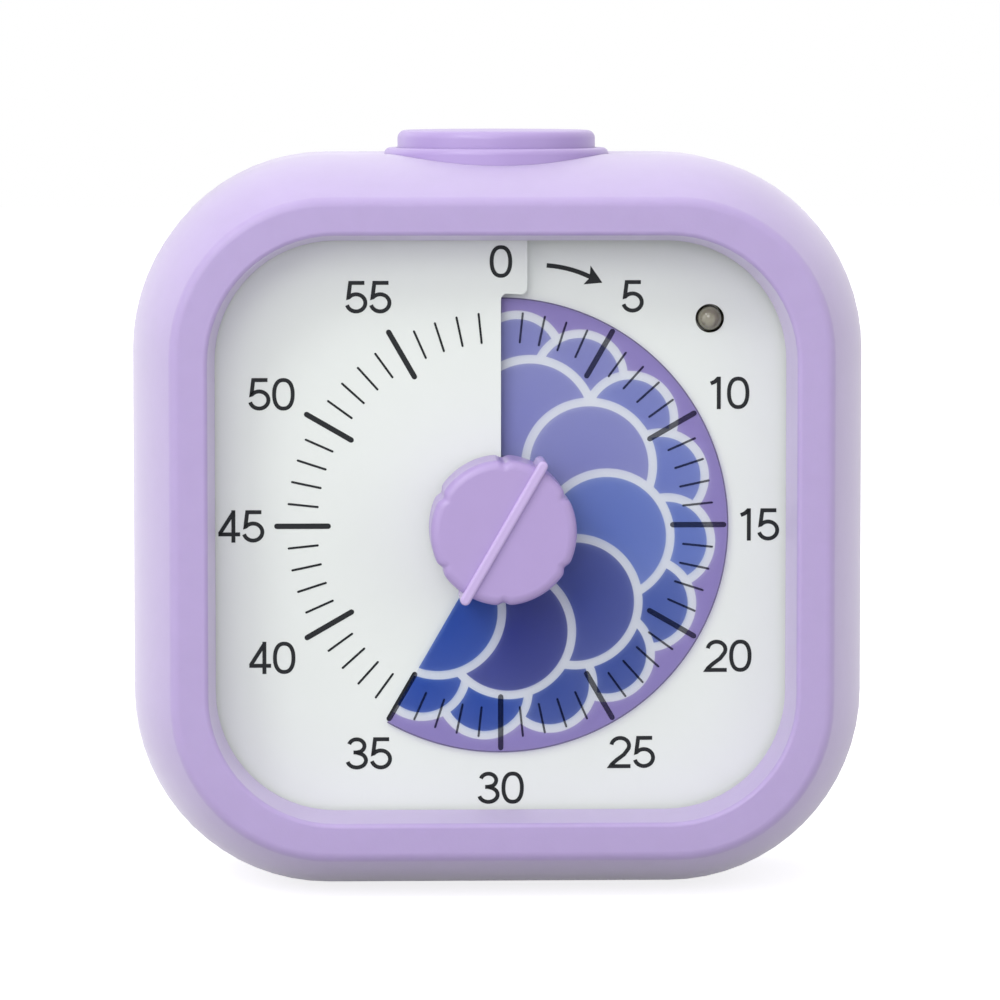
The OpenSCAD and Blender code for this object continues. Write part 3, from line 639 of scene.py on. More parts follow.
# Inks of each ring by the share of the turn; a disc that stands between two of them mixes both
# the paler inks near 0 and the deeper ones towards 35 hold the print's own colours and also a painted sheen,
# the film's glare from the lamps above
INNER_INKS = [
    (0.0, "lilac"), (0.16, "lilac"), (0.24, "periwinkle"), (0.31, "periwinkle"), (0.40, "indigo"),
    (0.50, "indigo"), (0.57, "royal"), (0.62, "royal"), (0.85, "violet"), (1.0, "lilac"),
]
OUTER_INKS = [
    (0.0, "lilac"), (0.08, "lilac"), (0.26, "periwinkle"), (0.36, "slate"), (0.45, "slate"),
    (0.53, "royal"), (0.62, "royal"), (0.85, "violet"), (1.0, "lilac"),
]
# How far the ink pales at a disc's edge, width in millimetres of the dark line painted along the film's
# cut edge as painted shade, and the share of the light that the film itself sends back
PALING = 0.05
RIM_SHADE_WIDTH = 0.16
FILM_HAZE = 0.06


def film_print():
    """PET film, screen-printed with clear inks: light passes the colour to the card and back, so
    the ticks below stay black. The artwork is two rings of overlapping discs drawn by compass."""
    finish, shader = new_finish("PET film, printed in clear inks", colour("ground"), 0.22, IOR=1.57)
    centre = dial(0, 0, 0) * MM
    place = add(finish, "ShaderNodeTexCoord")
    offset = add(
        finish,
        "ShaderNodeVectorMath",
        {0: place.outputs["Object"], 1: centre},
        operation="SUBTRACT",
    )
    flat = add(
        finish,
        "ShaderNodeVectorMath",
        {0: offset.outputs[0], 1: (1 / MM, 0, 1 / MM)},
        operation="MULTIPLY",
    )
    parts = add(finish, "ShaderNodeSeparateXYZ", {0: flat.outputs[0]})
    angle = add(finish, "ShaderNodeMath", {0: parts.outputs[0], 1: parts.outputs[2]}, operation="ARCTAN2")
    radius = add(finish, "ShaderNodeVectorMath", {0: flat.outputs[0]}, operation="LENGTH")
    art = colour("ground")
    art = disc_ring(finish, art, flat, angle, *OUTER_RING, OUTER_INKS)
    art = disc_ring(finish, art, flat, angle, *INNER_RING, INNER_INKS)
    # the outermost band of the film is painted dark: painted shade along its cut edge
    rim = add(
        finish,
        "ShaderNodeMath",
        {0: radius.outputs["Value"], 1: DISC_R - RIM_SHADE_WIDTH},
        operation="GREATER_THAN",
    )
    rim_shaded = add(finish, "ShaderNodeMix", {0: rim.outputs[0], 6: art, 7: colour("rim")}, data_type="RGBA")
    # the card's white comes back through the film, so the ink is what is left of it
    white = [v * 1.02 for v in colour("card")[:3]] + [1]
    tint = add(
        finish,
        "ShaderNodeMix",
        {0: 1.0, 6: rim_shaded.outputs[2], 7: white},
        data_type="RGBA",
        blend_type="DIVIDE",
        clamp_result=True,
    )
    # light crosses the film's two faces on its way in and again on its way out
    each = add(finish, "ShaderNodeGamma", {"Color": tint.outputs[2], "Gamma": 0.25})
    clear = add(finish, "ShaderNodeBsdfTransparent", {"Color": each.outputs[0]})
    link(finish, rim_shaded.outputs[2], shader.inputs["Base Color"])
    body = add(finish, "ShaderNodeMixShader", {0: FILM_HAZE, 1: clear.outputs[0], 2: shader.outputs[0]})
    link(finish, body.outputs[0], finish.node_tree.nodes["Material Output"].inputs["Surface"])
    return finish


def disc_ring(finish, below, flat, angle, count, phase, ring_r, disc_r, inks):
    """Lays a ring of overlapping outlined discs over a colour; each disc covers the one before."""
    turn = add(
        finish,
        "ShaderNodeMath",
        {0: angle.outputs[0], 1: count / (2 * math.pi), 2: phase},
        operation="MULTIPLY_ADD",
    )
    index = add(finish, "ShaderNodeMath", {0: turn.outputs[0]}, operation="FLOOR")
    for step in (-1, 0, 1):
        lane = add(finish, "ShaderNodeMath", {0: index.outputs[0], 1: step + 0.5 - phase}, operation="ADD")
        share = add(finish, "ShaderNodeMath", {0: lane.outputs[0], 1: 1 / count}, operation="MULTIPLY")
        a = add(finish, "ShaderNodeMath", {0: share.outputs[0], 1: 2 * math.pi}, operation="MULTIPLY")
        east = add(finish, "ShaderNodeMath", {0: a.outputs[0]}, operation="SINE")
        north = add(finish, "ShaderNodeMath", {0: a.outputs[0]}, operation="COSINE")
        way = add(finish, "ShaderNodeCombineXYZ", {0: east.outputs[0], 2: north.outputs[0]})
        middle = add(finish, "ShaderNodeVectorMath", {0: way.outputs[0], "Scale": ring_r}, operation="SCALE")
        gap = add(
            finish,
            "ShaderNodeVectorMath",
            {0: flat.outputs[0], 1: middle.outputs[0]},
            operation="DISTANCE",
        )
        wrapped = add(finish, "ShaderNodeMath", {0: share.outputs[0]}, operation="FRACT")
        ramp = add(finish, "ShaderNodeValToRGB", {0: wrapped.outputs[0]})
        stops = ramp.color_ramp.elements
        for place, ink in inks[1:-1]:
            stops.new(place).color = colour(ink)
        stops[0].color = colour(inks[0][1])
        stops[len(stops) - 1].color = colour(inks[-1][1])
        # the ink pales a little towards each disc's outer edge
        depth = add(
            finish,
            "ShaderNodeMapRange",
            {0: gap.outputs["Value"], 1: 0.0, 2: disc_r, 3: 0.0, 4: PALING},
        )
        fill = add(
            finish,
            "ShaderNodeMix",
            {0: depth.outputs[0], 6: ramp.outputs[0], 7: colour("outline")},
            data_type="RGBA",
        )
        inside = add(finish, "ShaderNodeMath", {0: gap.outputs["Value"], 1: disc_r}, operation="LESS_THAN")
        filled = add(
            finish,
            "ShaderNodeMath",
            {0: gap.outputs["Value"], 1: disc_r - mm("outline_width")},
            operation="LESS_THAN",
        )
        lined = add(
            finish,
            "ShaderNodeMix",
            {0: inside.outputs[0], 6: below, 7: colour("outline")},
            data_type="RGBA",
        )
        below = add(
            finish,
            "ShaderNodeMix",
            {0: filled.outputs[0], 6: lined.outputs[2], 7: fill.outputs[2]},
            data_type="RGBA",
        ).outputs[2]
    return below


def lamp_epoxy():
    """Cast tinted epoxy: a clear smooth lens that looks smoky with its lamp off."""
    base = colour("lens")
    finish, shader = new_finish(
        "Epoxy, cast, smoke tint", base, 0.07, IOR=1.54, Coat_Weight=0.6, Coat_Roughness=0.03
    )
    tone = mottle(finish, shader, base, 0.8, 0.18)
    # the base colour is darkened where the eye looks along the dome's side: a painted shade ring, standing in
    # for the dark hole around the lens
    side = add(finish, "ShaderNodeLayerWeight", {"Blend": 0.4})
    painted_edge_shade = [v * 0.2 for v in base[:3]] + [1]
    shaded = add(
        finish,
        "ShaderNodeMix",
        {0: side.outputs["Facing"], 6: tone.outputs[2], 7: painted_edge_shade},
        data_type="RGBA",
    )
    link(finish, shaded.outputs[2], shader.inputs["Base Color"])
    return finish


def moulded(name, base, roughness, size, relief):
    """Injection-moulded plastic with a grain of a given size."""
    finish, shader = new_finish(name, base, roughness, IOR=1.5)
    mottle(finish, shader, base, 4, 0.04)
    grain(finish, shader, size, relief, 2)
    return finish


def metal(name, base, roughness, size, relief):
    """Metal with fine marks of a given size, which break its highlights."""
    finish, shader = new_finish(name, base, roughness, Metallic=1.0)
    noise = grain(finish, shader, size, relief, 3)
    worn = add(
        finish,
        "ShaderNodeMapRange",
        {0: noise.outputs[0], 1: 0.3, 2: 0.7, 3: roughness * 0.75, 4: roughness * 1.3},
    )
    link(finish, worn.outputs[0], shader.inputs["Roughness"])
    mottle(finish, shader, base, 3, 0.05)
    return finish


def solder_mask():
    """Glass-epoxy board under green solder mask: copper tracks show as paler raised lines."""
    track_pitch = 2.6
    track_height = 0.035
    base = colour("board")
    finish, shader = new_finish("Glass-epoxy board, green solder mask", base, 0.32, IOR=1.5)
    place = add(finish, "ShaderNodeTexCoord")
    tracks = add(
        finish,
        "ShaderNodeTexBrick",
        {
            "Vector": place.outputs["Object"],
            "Scale": 1 / (track_pitch * MM) / 2,
            "Mortar Size": 0.035,
            "Color1": base,
            "Color2": [v * 0.86 for v in base[:3]] + [1],
            "Mortar": [min(1, v * 1.9) for v in base[:3]] + [1],
        },
        offset=0.37,
        squash=0.6,
    )
    link(finish, tracks.outputs["Color"], shader.inputs["Base Color"])
    bump = add(finish, "ShaderNodeBump", {"Height": tracks.outputs["Fac"], "Distance": track_height * MM})
    link(finish, bump.outputs[0], shader.inputs["Normal"])
    return finish


def copper_winding():
    """Enamelled copper wire wound side by side: fine bright rings across the coil."""
    # the real wire is 0.2 mm thick; its rings are drawn 1.26 mm apart, so that they show
    rings_per_metre = 0.05 / (0.2 * MM)
    base = colour("copper")
    finish, shader = new_finish("Copper wire, enamelled, wound", base, 0.3, Metallic=1.0)
    place = add(finish, "ShaderNodeTexCoord")
    wires = add(
        finish,
        "ShaderNodeTexWave",
        {"Vector": place.outputs["Object"], "Scale": rings_per_metre, "Distortion": 0.6},
        bands_direction="X",
    )
    bump = add(finish, "ShaderNodeBump", {"Height": wires.outputs["Fac"], "Distance": 0.05 * MM})
    link(finish, bump.outputs[0], shader.inputs["Normal"])
    mottle(finish, shader, base, 1.5, 0.12)
    return finish


def cell_sleeve():
    """Shrunk PVC sleeve, printed: dark with a bronze band at the plus end, and glossy."""
    band_start = 8
    base = colour("sleeve")
    finish, shader = new_finish("PVC sleeve, printed and shrunk", base, 0.24, IOR=1.53)
    place = add(finish, "ShaderNodeTexCoord")
    parts = add(finish, "ShaderNodeSeparateXYZ", {0: place.outputs["Object"]})
    # the upper cell's plus end is at +X and the lower cell's at -X
    side = add(
        finish,
        "ShaderNodeMath",
        {0: parts.outputs[2], 1: (MIDDLE + CELL_Y) * MM},
        operation="SUBTRACT",
    )
    sign = add(finish, "ShaderNodeMath", {0: side.outputs[0]}, operation="SIGN")
    along = add(finish, "ShaderNodeMath", {0: sign.outputs[0], 1: parts.outputs[0]}, operation="MULTIPLY")
    banded = add(
        finish,
        "ShaderNodeMath",
        {0: along.outputs[0], 1: band_start * MM},
        operation="GREATER_THAN",
    )
    mix = add(
        finish,
        "ShaderNodeMix",
        {0: banded.outputs[0], 6: base, 7: colour("band")},
        data_type="RGBA",
    )
    link(finish, mix.outputs[2], shader.inputs["Base Color"])
    # the shrunk sleeve is slightly wavy, at its real scale
    grain(finish, shader, 1.2, 0.004, 2)
    return finish


FINISHES = {
    "lavender": lavender_abs,
    "lavender_fine": smooth_abs,
    "lavender_polished_painted_highlight": polished_abs_painted_highlight,
    "card": card_white,
    "ink": screen_ink,
    "film": film_print,
    "lamp": lamp_epoxy,
    # a soft grain keeps the black from looking like a hole
    "black": lambda: moulded("Black ABS, moulded", colour("chassis"), 0.45, 0.3, 0.008),
    # unpainted gear plastic: off-white and a little waxy
    "ivory": lambda: moulded("Natural acetal, moulded", colour("ivory"), 0.38, 0.4, 0.004),
    # a thin zinc coat: light grey with soft, slightly uneven highlights
    "steel": lambda: metal("Steel, zinc-plated", colour("steel"), 0.3, 0.25, 0.003),
    # drawn and plated wire: bright with narrow highlights
    "spring": lambda: metal("Spring steel, nickel-plated", colour("steel"), 0.2, 0.15, 0.001),
    # turned brass: warm and bright, with fine tool marks
    "brass": lambda: metal("Brass, machined", colour("brass"), 0.24, 0.12, 0.002),
    # stamped sheet: dull grey with a broad highlight
    "iron": lambda: metal("Silicon steel, stamped", colour("steel"), 0.42, 0.2, 0.004),
    # pressed and fired powder: nearly black, with a faint rough glint
    "magnet": lambda: metal("Ferrite, sintered", colour("chassis"), 0.5, 0.2, 0.006),
    "copper": copper_winding,
    "board": solder_mask,
    "sleeve": cell_sleeve,
}
made = {}


def finish_of(name):
    """The finish of a name, made once."""
    if name not in made:
        made[name] = FINISHES[name]()
    return made[name]


# ---------- sections of the housing and its window ----------


def body_at(depth, drawn_in=0.0):
    """Section of the housing's outside at a depth, drawn in all round."""
    share = 1 - min(depth, FLARE_DEPTH) / FLARE_DEPTH
    k = FLARE * share * share + drawn_in
    return depth, BODY_W / 2 - k, BODY_H / 2 - k, BODY_R - k


def front_round(radius, steps):
    """Depth where the rounding of the front edge leaves the flared side, and its sections."""
    slope = math.atan(2 * FLARE / FLARE_DEPTH * (1 - radius / 2 / FLARE_DEPTH))
    start = radius * (1 - math.sin(slope))
    sections = []
    for i in range(1, steps + 1):
        a = slope + (math.pi / 2 - slope) * i / steps
        drawn = radius * (math.cos(slope) - math.cos(a))
        sections.append((radius * (1 - math.sin(a)), *body_at(start, drawn)[1:]))
    return start, sections


def window_at(depth, grow=0.0):
    """Section of the window's wall at a depth, grown all round."""
    k = WINDOW_DRAFT * (1 - depth / CHUTE_DEPTH) + grow
    return depth, WINDOW_W / 2 + k, WINDOW_H / 2 + k, WINDOW_R + k


def quarter(radius, steps):
    """Steps round a quarter: pairs of how far the edge is cut down and drawn in."""
    turns = [math.pi / 2 * i / steps for i in range(steps + 1)]
    return [(radius * (1 - math.sin(a)), radius * (1 - math.cos(a))) for a in turns]


def corners(x, y):
    """The four places that mirror one another about the dial's centre."""
    return [(sx * x, sy * y) for sx in (-1, 1) for sy in (-1, 1)]


class COUNTDOWN_OT_housing(bpy.types.Operator):
    """Build the front housing with its bezel, window wall and screw posts"""

    bl_idname = "countdown.housing"
    bl_label = "Housing"
    bl_options = {"REGISTER", "UNDO"}

    def execute(self, context):
        edge, lip, seam = mm("front_edge"), mm("lip_edge"), mm("seam")
        flare_steps, inside_steps, round_steps, lip_steps = 22, 8, 7, 6
        start, rounding = front_round(edge, round_steps)
        sections = [body_at(SHELL_END, seam), body_at(SHELL_END - seam)]
        for i in range(flare_steps + 1):
            sections.append(body_at(FLARE_DEPTH - (FLARE_DEPTH - start) * i / flare_steps))
        sections += rounding
        for drawn, cut in quarter(lip, lip_steps):
            sections.append(window_at(cut, drawn))
        sections += [window_at(CHUTE_DEPTH), window_at(CHUTE_DEPTH, CHUTE_WALL), window_at(WALL, CHUTE_WALL)]
        for i in range(inside_steps + 1):
            sections.append(body_at(WALL + (FLARE_DEPTH - WALL) * i / inside_steps, WALL))
        sections.append(body_at(SHELL_END, WALL))
        shell = solid("housing_shell", loft(sections, closed=True))
        # posts and studs start inside the window's wall and the front wall, so that they join them
        root = CHUTE_DEPTH - 1
        post = [(0, root), (POST_R, root), (POST_R, POST_END), (PILOT_R, POST_END)]
        post += [(PILOT_R, PILOT_DEPTH), (0, PILOT_DEPTH)]
        posts = [turned(post, facing(x, y), steps=40) for x, y in corners(SCREW_X, SCREW_Y)]
        root = WALL - 0.5
        bore_end = CHASSIS_D - STUD_BORE_L
        stud = [(0, root), (STUD_R, root), (STUD_R, CHASSIS_D), (STUD_BORE_R, CHASSIS_D)]
        stud += [(STUD_BORE_R, bore_end), (0, bore_end)]
        studs = [turned(stud, facing(x, y), steps=32) for x, y in corners(STUD_X, STUD_Y)]
        combine(shell, posts + studs, "UNION")
        seat_r = COLLAR_R + 0.05
        seat = [(seat_r, MIDDLE + WINDOW_H / 2 + 3), (seat_r, 2 * BODY_H)]
        combine(shell, [turned(seat, upright(0, BUTTON_Y), steps=160)], "DIFFERENCE")
        finished(shell, finish_of("lavender"), "housing", ["body_shell"])
        return {"FINISHED"}


def door_outline(grow):
    """Outline of the battery door with its finger tab, from its foot to the tab."""
    hw = DOOR_W / 2 + grow
    tab = TAB_R + grow
    soft = 0.5
    foot = DOOR_FOOT - grow
    top = DOOR_TOP + grow
    half = math.degrees(math.asin(grow / tab)) if grow > 0 else 0
    points = arc(-hw + soft, foot + soft, soft, soft, 180, 270, 5)
    points += arc(hw - soft, foot + soft, soft, soft, 270, 360, 5)
    points += arc(hw - soft, top - soft, soft, soft, 0, 90, 5)
    points += arc(0, DOOR_TOP, tab, tab, half, 180 - half, 32)
    points += arc(-hw + soft, top - soft, soft, soft, 90, 180, 5)
    return points


class COUNTDOWN_OT_rear_cover(bpy.types.Operator):
    """Build the rear cover with its battery bay, sound grille and slider well"""

    bl_idname = "countdown.rear_cover"
    bl_label = "Rear cover"
    bl_options = {"REGISTER", "UNDO"}

    def execute(self, context):
        seam, edge = mm("seam"), mm("small_edge")
        fit, tongue_t, bury = 0.1, 1.2, 0.5
        past = BODY_DEPTH + 1
        sections = [body_at(SHELL_END, seam)]
        for cut, drawn in quarter(REAR_EDGE, 12):
            sections.append((BODY_DEPTH - cut, *body_at(BODY_DEPTH, drawn)[1:]))
        cover = solid("rear_housing", loft(sections))
        # the tongue around the cover slides into the housing
        outside = WALL + fit
        tongue = loft([body_at(SHELL_END - 1.5, outside), body_at(SHELL_END + bury, outside)])
        combine(cover, [tongue], "UNION")
        inside = outside + tongue_t
        hollow = loft([body_at(SHELL_END - 2, inside), body_at(CAVITY_END, inside)])
        combine(cover, [hollow], "DIFFERENCE")
        # frame around the door, its tab and the bay; their ends differ, so that no two faces meet
        frame_w, tab_frame_w, step = 2, 1.7, 0.03
        box = rounded(DOOR_W / 2 + frame_w, DOOR_H / 2 + frame_w, 0.4, 2)
        tab = circle(TAB_R + tab_frame_w, 48)
        bay = rounded(BAY_L / 2 + BAY_WALL, BAY_H / 2 + BAY_WALL, 0.4, 2)
        low, high = SHELL_END + 0.6, BODY_DEPTH - bury
        tube_r = POST_R + 0.4
        tube = [(0, POST_END), (tube_r, POST_END), (tube_r, CAVITY_END + bury), (0, CAVITY_END + bury)]
        solids = [turned(tube, facing(x, y), steps=40) for x, y in corners(SCREW_X, SCREW_Y)]
        solids += [
            prism(box, low, high, facing(0, BAY_Y)),
            prism(tab, low + step, high - step, facing(0, DOOR_TOP)),
            prism(bay, BAY_FLOOR - BAY_WALL, high - 2 * step, facing(0, BAY_Y)),
        ]
        clip = rounded(0.6, 2.5, 0.2, 2)
        clip_x, clip_l = 6.1, 5.2
        for x in (-clip_x, clip_x):
            put = facing(SLIDER_AT[0] + x, SLIDER_AT[1])
            solids.append(prism(clip, CAVITY_END - clip_l, CAVITY_END + 0.3, put))
        combine(cover, solids, "UNION")
        shank_r, head_r = 1.4, HEAD_R + fit
        bore = [(0, POST_END - 1), (shank_r, POST_END - 1), (shank_r, HEAD_DEPTH), (head_r, HEAD_DEPTH)]
        bore += [(head_r, BODY_DEPTH - edge), (head_r + edge, BODY_DEPTH), (head_r + edge, past), (0, past)]
        cuts = [turned(bore, facing(x, y), steps=48) for x, y in corners(SCREW_X, SCREW_Y)]
        rim = [(BODY_DEPTH - edge, 0), (BODY_DEPTH, -edge), (past, -edge)]
        cuts.append(stack(door_outline(fit), [(BODY_DEPTH - DOOR_T - fit, 0), *rim]))
        cell_room = rounded(BAY_L / 2, BAY_H / 2, 0.3, 2)
        cuts.append(prism(cell_room, BAY_FLOOR, past, facing(0, BAY_Y)))
        pin = circle(PIN_R + 0.05, 20)
        reach = PIN_L + 0.2
        for end in (-1, 1):
            put = lying(DOOR_AXIS_Y, BODY_DEPTH - DOOR_T / 2, end)
            cuts.append(prism(pin, DOOR_W / 2 - reach, DOOR_W / 2 + reach, put))
        combine(cover, cuts, "DIFFERENCE")
        sound = [(0, CAVITY_END - 1), (HOLE_R, CAVITY_END - 1), (HOLE_R, BODY_DEPTH - edge)]
        sound += [(HOLE_R + edge, BODY_DEPTH), (HOLE_R + edge, past), (0, past)]
        holes = [(0, 0)] + arc(0, 0, GRILLE_R, GRILLE_R, 0, 360, 6)[:-1]
        cuts = [turned(sound, facing(GRILLE_AT[0] + x, GRILLE_AT[1] + y), steps=28) for x, y in holes]
        well_depth = 0.9
        well, slot = rounded(6, 2.5, 2, 10), rounded(3.7, 1.15, 0.3, 4)
        cuts.append(stack(well, [(BODY_DEPTH - well_depth, 0), *rim], facing(*SLIDER_AT)))
        cuts.append(prism(slot, CAVITY_END - 1, past, facing(*SLIDER_AT)))
        collar_room = COLLAR_R + 0.4
        notch = [(collar_room, BODY_H - 9), (collar_room, BODY_H + 5)]
        cuts.append(turned(notch, upright(0, BUTTON_Y), steps=120))
        combine(cover, cuts, "DIFFERENCE")
        # low rib between the two cells
        rib_w, rib_h = 0.54, 2
        rib = rounded(BAY_L / 2 - 4, rib_w / 2, 0.1, 2)
        combine(cover, [prism(rib, BAY_FLOOR - 0.3, BAY_FLOOR + rib_h, facing(0, BAY_Y))], "UNION")
        finished(cover, finish_of("lavender"), "housing", ["rear_cover"])
        return {"FINISHED"}


class COUNTDOWN_OT_battery_door(bpy.types.Operator):
    """Build the battery door with its hinge barrel, tab and grip grooves"""

    bl_idname = "countdown.battery_door"
    bl_label = "Battery door"
    bl_options = {"REGISTER", "UNDO"}

    def execute(self, context):
        edge = mm("small_edge")
        levels = [(BODY_DEPTH - DOOR_T, edge / 2), (BODY_DEPTH - DOOR_T + edge / 2, 0)]
        levels += [(BODY_DEPTH - cut, drawn) for cut, drawn in quarter(edge, 4)]
        door = solid("battery_lid", stack(door_outline(0), levels))
        # the foot is cut back to the hinge's axis, where the barrel takes over
        foot = [(-DOOR_W, DOOR_FOOT - 1), (DOOR_W, DOOR_FOOT - 1)]
        foot += [(DOOR_W, DOOR_AXIS_Y), (-DOOR_W, DOOR_AXIS_Y)]
        past = BODY_DEPTH + 1
        cuts = [prism(foot, BODY_DEPTH - DOOR_T - 1, past)]
        groove_depth, groove_pitch = 0.4, 1.6
        groove = [(y, x) for x, y in stadium(7, 0.35)][::-1]
        for i in range(4):
            put = facing(0, DOOR_TOP - 4 - groove_pitch * i)
            cuts.append(prism(groove, BODY_DEPTH - groove_depth, past, put))
        combine(door, cuts, "DIFFERENCE")
        put = lying(DOOR_AXIS_Y, BODY_DEPTH - DOOR_T / 2)
        barrel = prism(circle(DOOR_T / 2 - 0.002, 40), -DOOR_W / 2, DOOR_W / 2, put)
        pins = prism(circle(PIN_R, 24), -DOOR_W / 2 - PIN_L, DOOR_W / 2 + PIN_L, put)
        combine(door, [barrel, pins], "UNION")
        finished(door, finish_of("lavender"), "door", ["battery_door"])
        return {"FINISHED"}


class COUNTDOWN_OT_sound_slider(bpy.types.Operator):
    """Build the sound slider's ribbed nub and its shoe"""

    bl_idname = "countdown.sound_slider"
    bl_label = "Sound slider"
    bl_options = {"REGISTER", "UNDO"}

    def execute(self, context):
        put = facing(*SLIDER_AT)
        top = BODY_DEPTH - 0.2
        levels = [(CAVITY_END - 0.3, 0), (top - 0.2, 0), (top - 0.06, 0.05), (top, 0.2)]
        nub = solid("slider_nub", stack(rounded(1.6, 1, 0.25, 5), levels, put))
        groove = rounded(0.14, 2, 0.05, 2)
        cuts = []
        for x in (-0.75, 0, 0.75):
            cuts.append(prism(groove, top - 0.3, top + 1, facing(SLIDER_AT[0] + x, SLIDER_AT[1])))
        combine(nub, cuts, "DIFFERENCE")
        shoe = prism(rounded(2.5, 1.55, 0.2, 3), CAVITY_END - 1.15, CAVITY_END - 0.25, put)
        combine(nub, [shoe], "UNION")
        finished(nub, finish_of("black"), "slider", ["sound_slider"])
        return {"FINISHED"}


class COUNTDOWN_OT_dial_card(bpy.types.Operator):
    """Build the white dial card, a screw surface with a slit at 0 and a flap over it"""

    bl_idname = "countdown.dial_card"
    bl_label = "Dial card"
    bl_options = {"REGISTER", "UNDO"}

    def execute(self, context):
        half_w, half_h = WINDOW_W / 2 + CARD_OVERLAP, WINDOW_H / 2 + CARD_OVERLAP
        corner = WINDOW_R + CARD_OVERLAP

        def reach(turn):
            """Distance from the centre to the card's rounded edge at an angle."""
            a = math.radians(turn)
            x, y = abs(math.sin(a)), abs(math.cos(a))
            straight = min(half_w / max(x, 1e-6), half_h / max(y, 1e-6))
            cx, cy = half_w - corner, half_h - corner
            if straight * x <= cx or straight * y <= cy:
                return straight
            along = cx * x + cy * y
            return along + math.sqrt(along * along - cx * cx - cy * cy + corner * corner)

        plate = helicoid(0, 360, 2, [CARD_HOLE_R, 12, 18, 24, 28.3], 0, CARD_T, reach)
        leg_r, peg_r = 1.6, 0.8
        peg_end = CHASSIS_D + PLATE_T
        legs = []
        for x, y in corners(DISC_R + 3.7, 13):
            top = card_depth(x, y) + CARD_T / 2
            profile = [(0, top), (leg_r, top), (leg_r, CHASSIS_D), (peg_r, CHASSIS_D)]
            profile += [(peg_r, peg_end), (0, peg_end)]
            legs.append(turned(profile, facing(x, y), steps=24))
        card = solid("dial_face", plate)
        lamp_room = LAMP_R + 0.25
        lamp_hole = prism(circle(lamp_room), CARD_D - 4, CARD_D + 3, facing(LAMP_X, LAMP_Y))
        combine(card, [lamp_hole], "DIFFERENCE")
        finished(card, finish_of("card"), "housing", ["dial_card"])
        # the flap carries on the card's high side past 0, with soft corners and a side down to the slit
        high = CARD_D - PITCH + 0.004
        joined_x = -0.15
        soft = 0.8
        centre_x = FLAP_W - soft
        centre_y = math.sqrt((FLAP_R + soft) ** 2 - centre_x**2)
        lean = math.degrees(math.atan2(centre_x, centre_y))
        inner = FLAP_R - soft
        outline = [(joined_x, inner)] + arc(soft, inner, soft, soft, 180, 92, 8)
        outline += arc(0, 0, FLAP_R, FLAP_R, 88.2, 90 - lean, 8)
        outline += arc(centre_x, centre_y, soft, soft, -90 - lean, 0, 10)
        outline += [(FLAP_W, half_h), (joined_x, half_h)]
        side_in, side_out = FLAP_W - CARD_T, FLAP_W - 0.01
        side = [(side_in, centre_y), (side_out, centre_y), (side_out, half_h), (side_in, half_h)]
        face = prism(outline, high, high + CARD_T)
        flap = solid("dial_flap", face, prism(side, high + 0.01, CARD_D + 0.2), *legs)
        finished(flap, finish_of("card"), "housing", ["dial_card"])
        return {"FINISHED"}


# ---------- print on the dial ----------


def card_depth(x, y):
    """Depth of the card's face at a place on the dial, where the flap carries on the high side."""
    turn = math.atan2(x, y) / (2 * math.pi) % 1
    if 0 <= x <= FLAP_W and y > FLAP_R * 0.99:
        turn = 1
    return CARD_D - PITCH * turn


def line(points, halves, closed=False):
    """A thin printed line on the card: a strip along points with a half width at each."""
    count = len(points)
    rings = []
    for i, (x, y) in enumerate(points):
        before = points[i - 1] if i or closed else points[i]
        after = points[(i + 1) % count] if i < count - 1 or closed else points[i]
        d0 = Vector((x - before[0], y - before[1]))
        d1 = Vector((after[0] - x, after[1] - y))
        d0 = d0.normalized() if d0.length > 1e-9 else d1.normalized()
        d1 = d1.normalized() if d1.length > 1e-9 else d0
        across = Vector((-d0.y - d1.y, d0.x + d1.x)).normalized()
        wide = halves[i] / max(0.45, across.dot(Vector((-d0.y, d0.x))))
        left = (x + across.x * wide, y + across.y * wide)
        right = (x - across.x * wide, y - across.y * wide)
        section = ((left, -INK_T), (right, -INK_T), (right, INK_ROOT), (left, INK_ROOT))
        rings.append([dial(*p, card_depth(*p) + lift) for p, lift in section])
    return skin(rings, closed)


def tick(turn, inner, outer, width):
    """A printed tick with round ends, along a radius."""
    a = math.radians(turn)
    half = width / 2
    rounding = [math.radians(t) for t in (8, 30, 60, 90)]
    ends = [(half * (1 - math.cos(b)), half * math.sin(b)) for b in rounding]
    stations = [(inner + s, w) for s, w in ends] + [(outer - s, w) for s, w in reversed(ends)]
    return line([(r * math.sin(a), r * math.cos(a)) for r, _ in stations], [w for _, w in stations])


def patch(outline):
    """A printed patch on the card with a straight-sided outline."""
    return skin([[dial(x, y, card_depth(x, y) + lift) for x, y in outline] for lift in (-INK_T, INK_ROOT)])


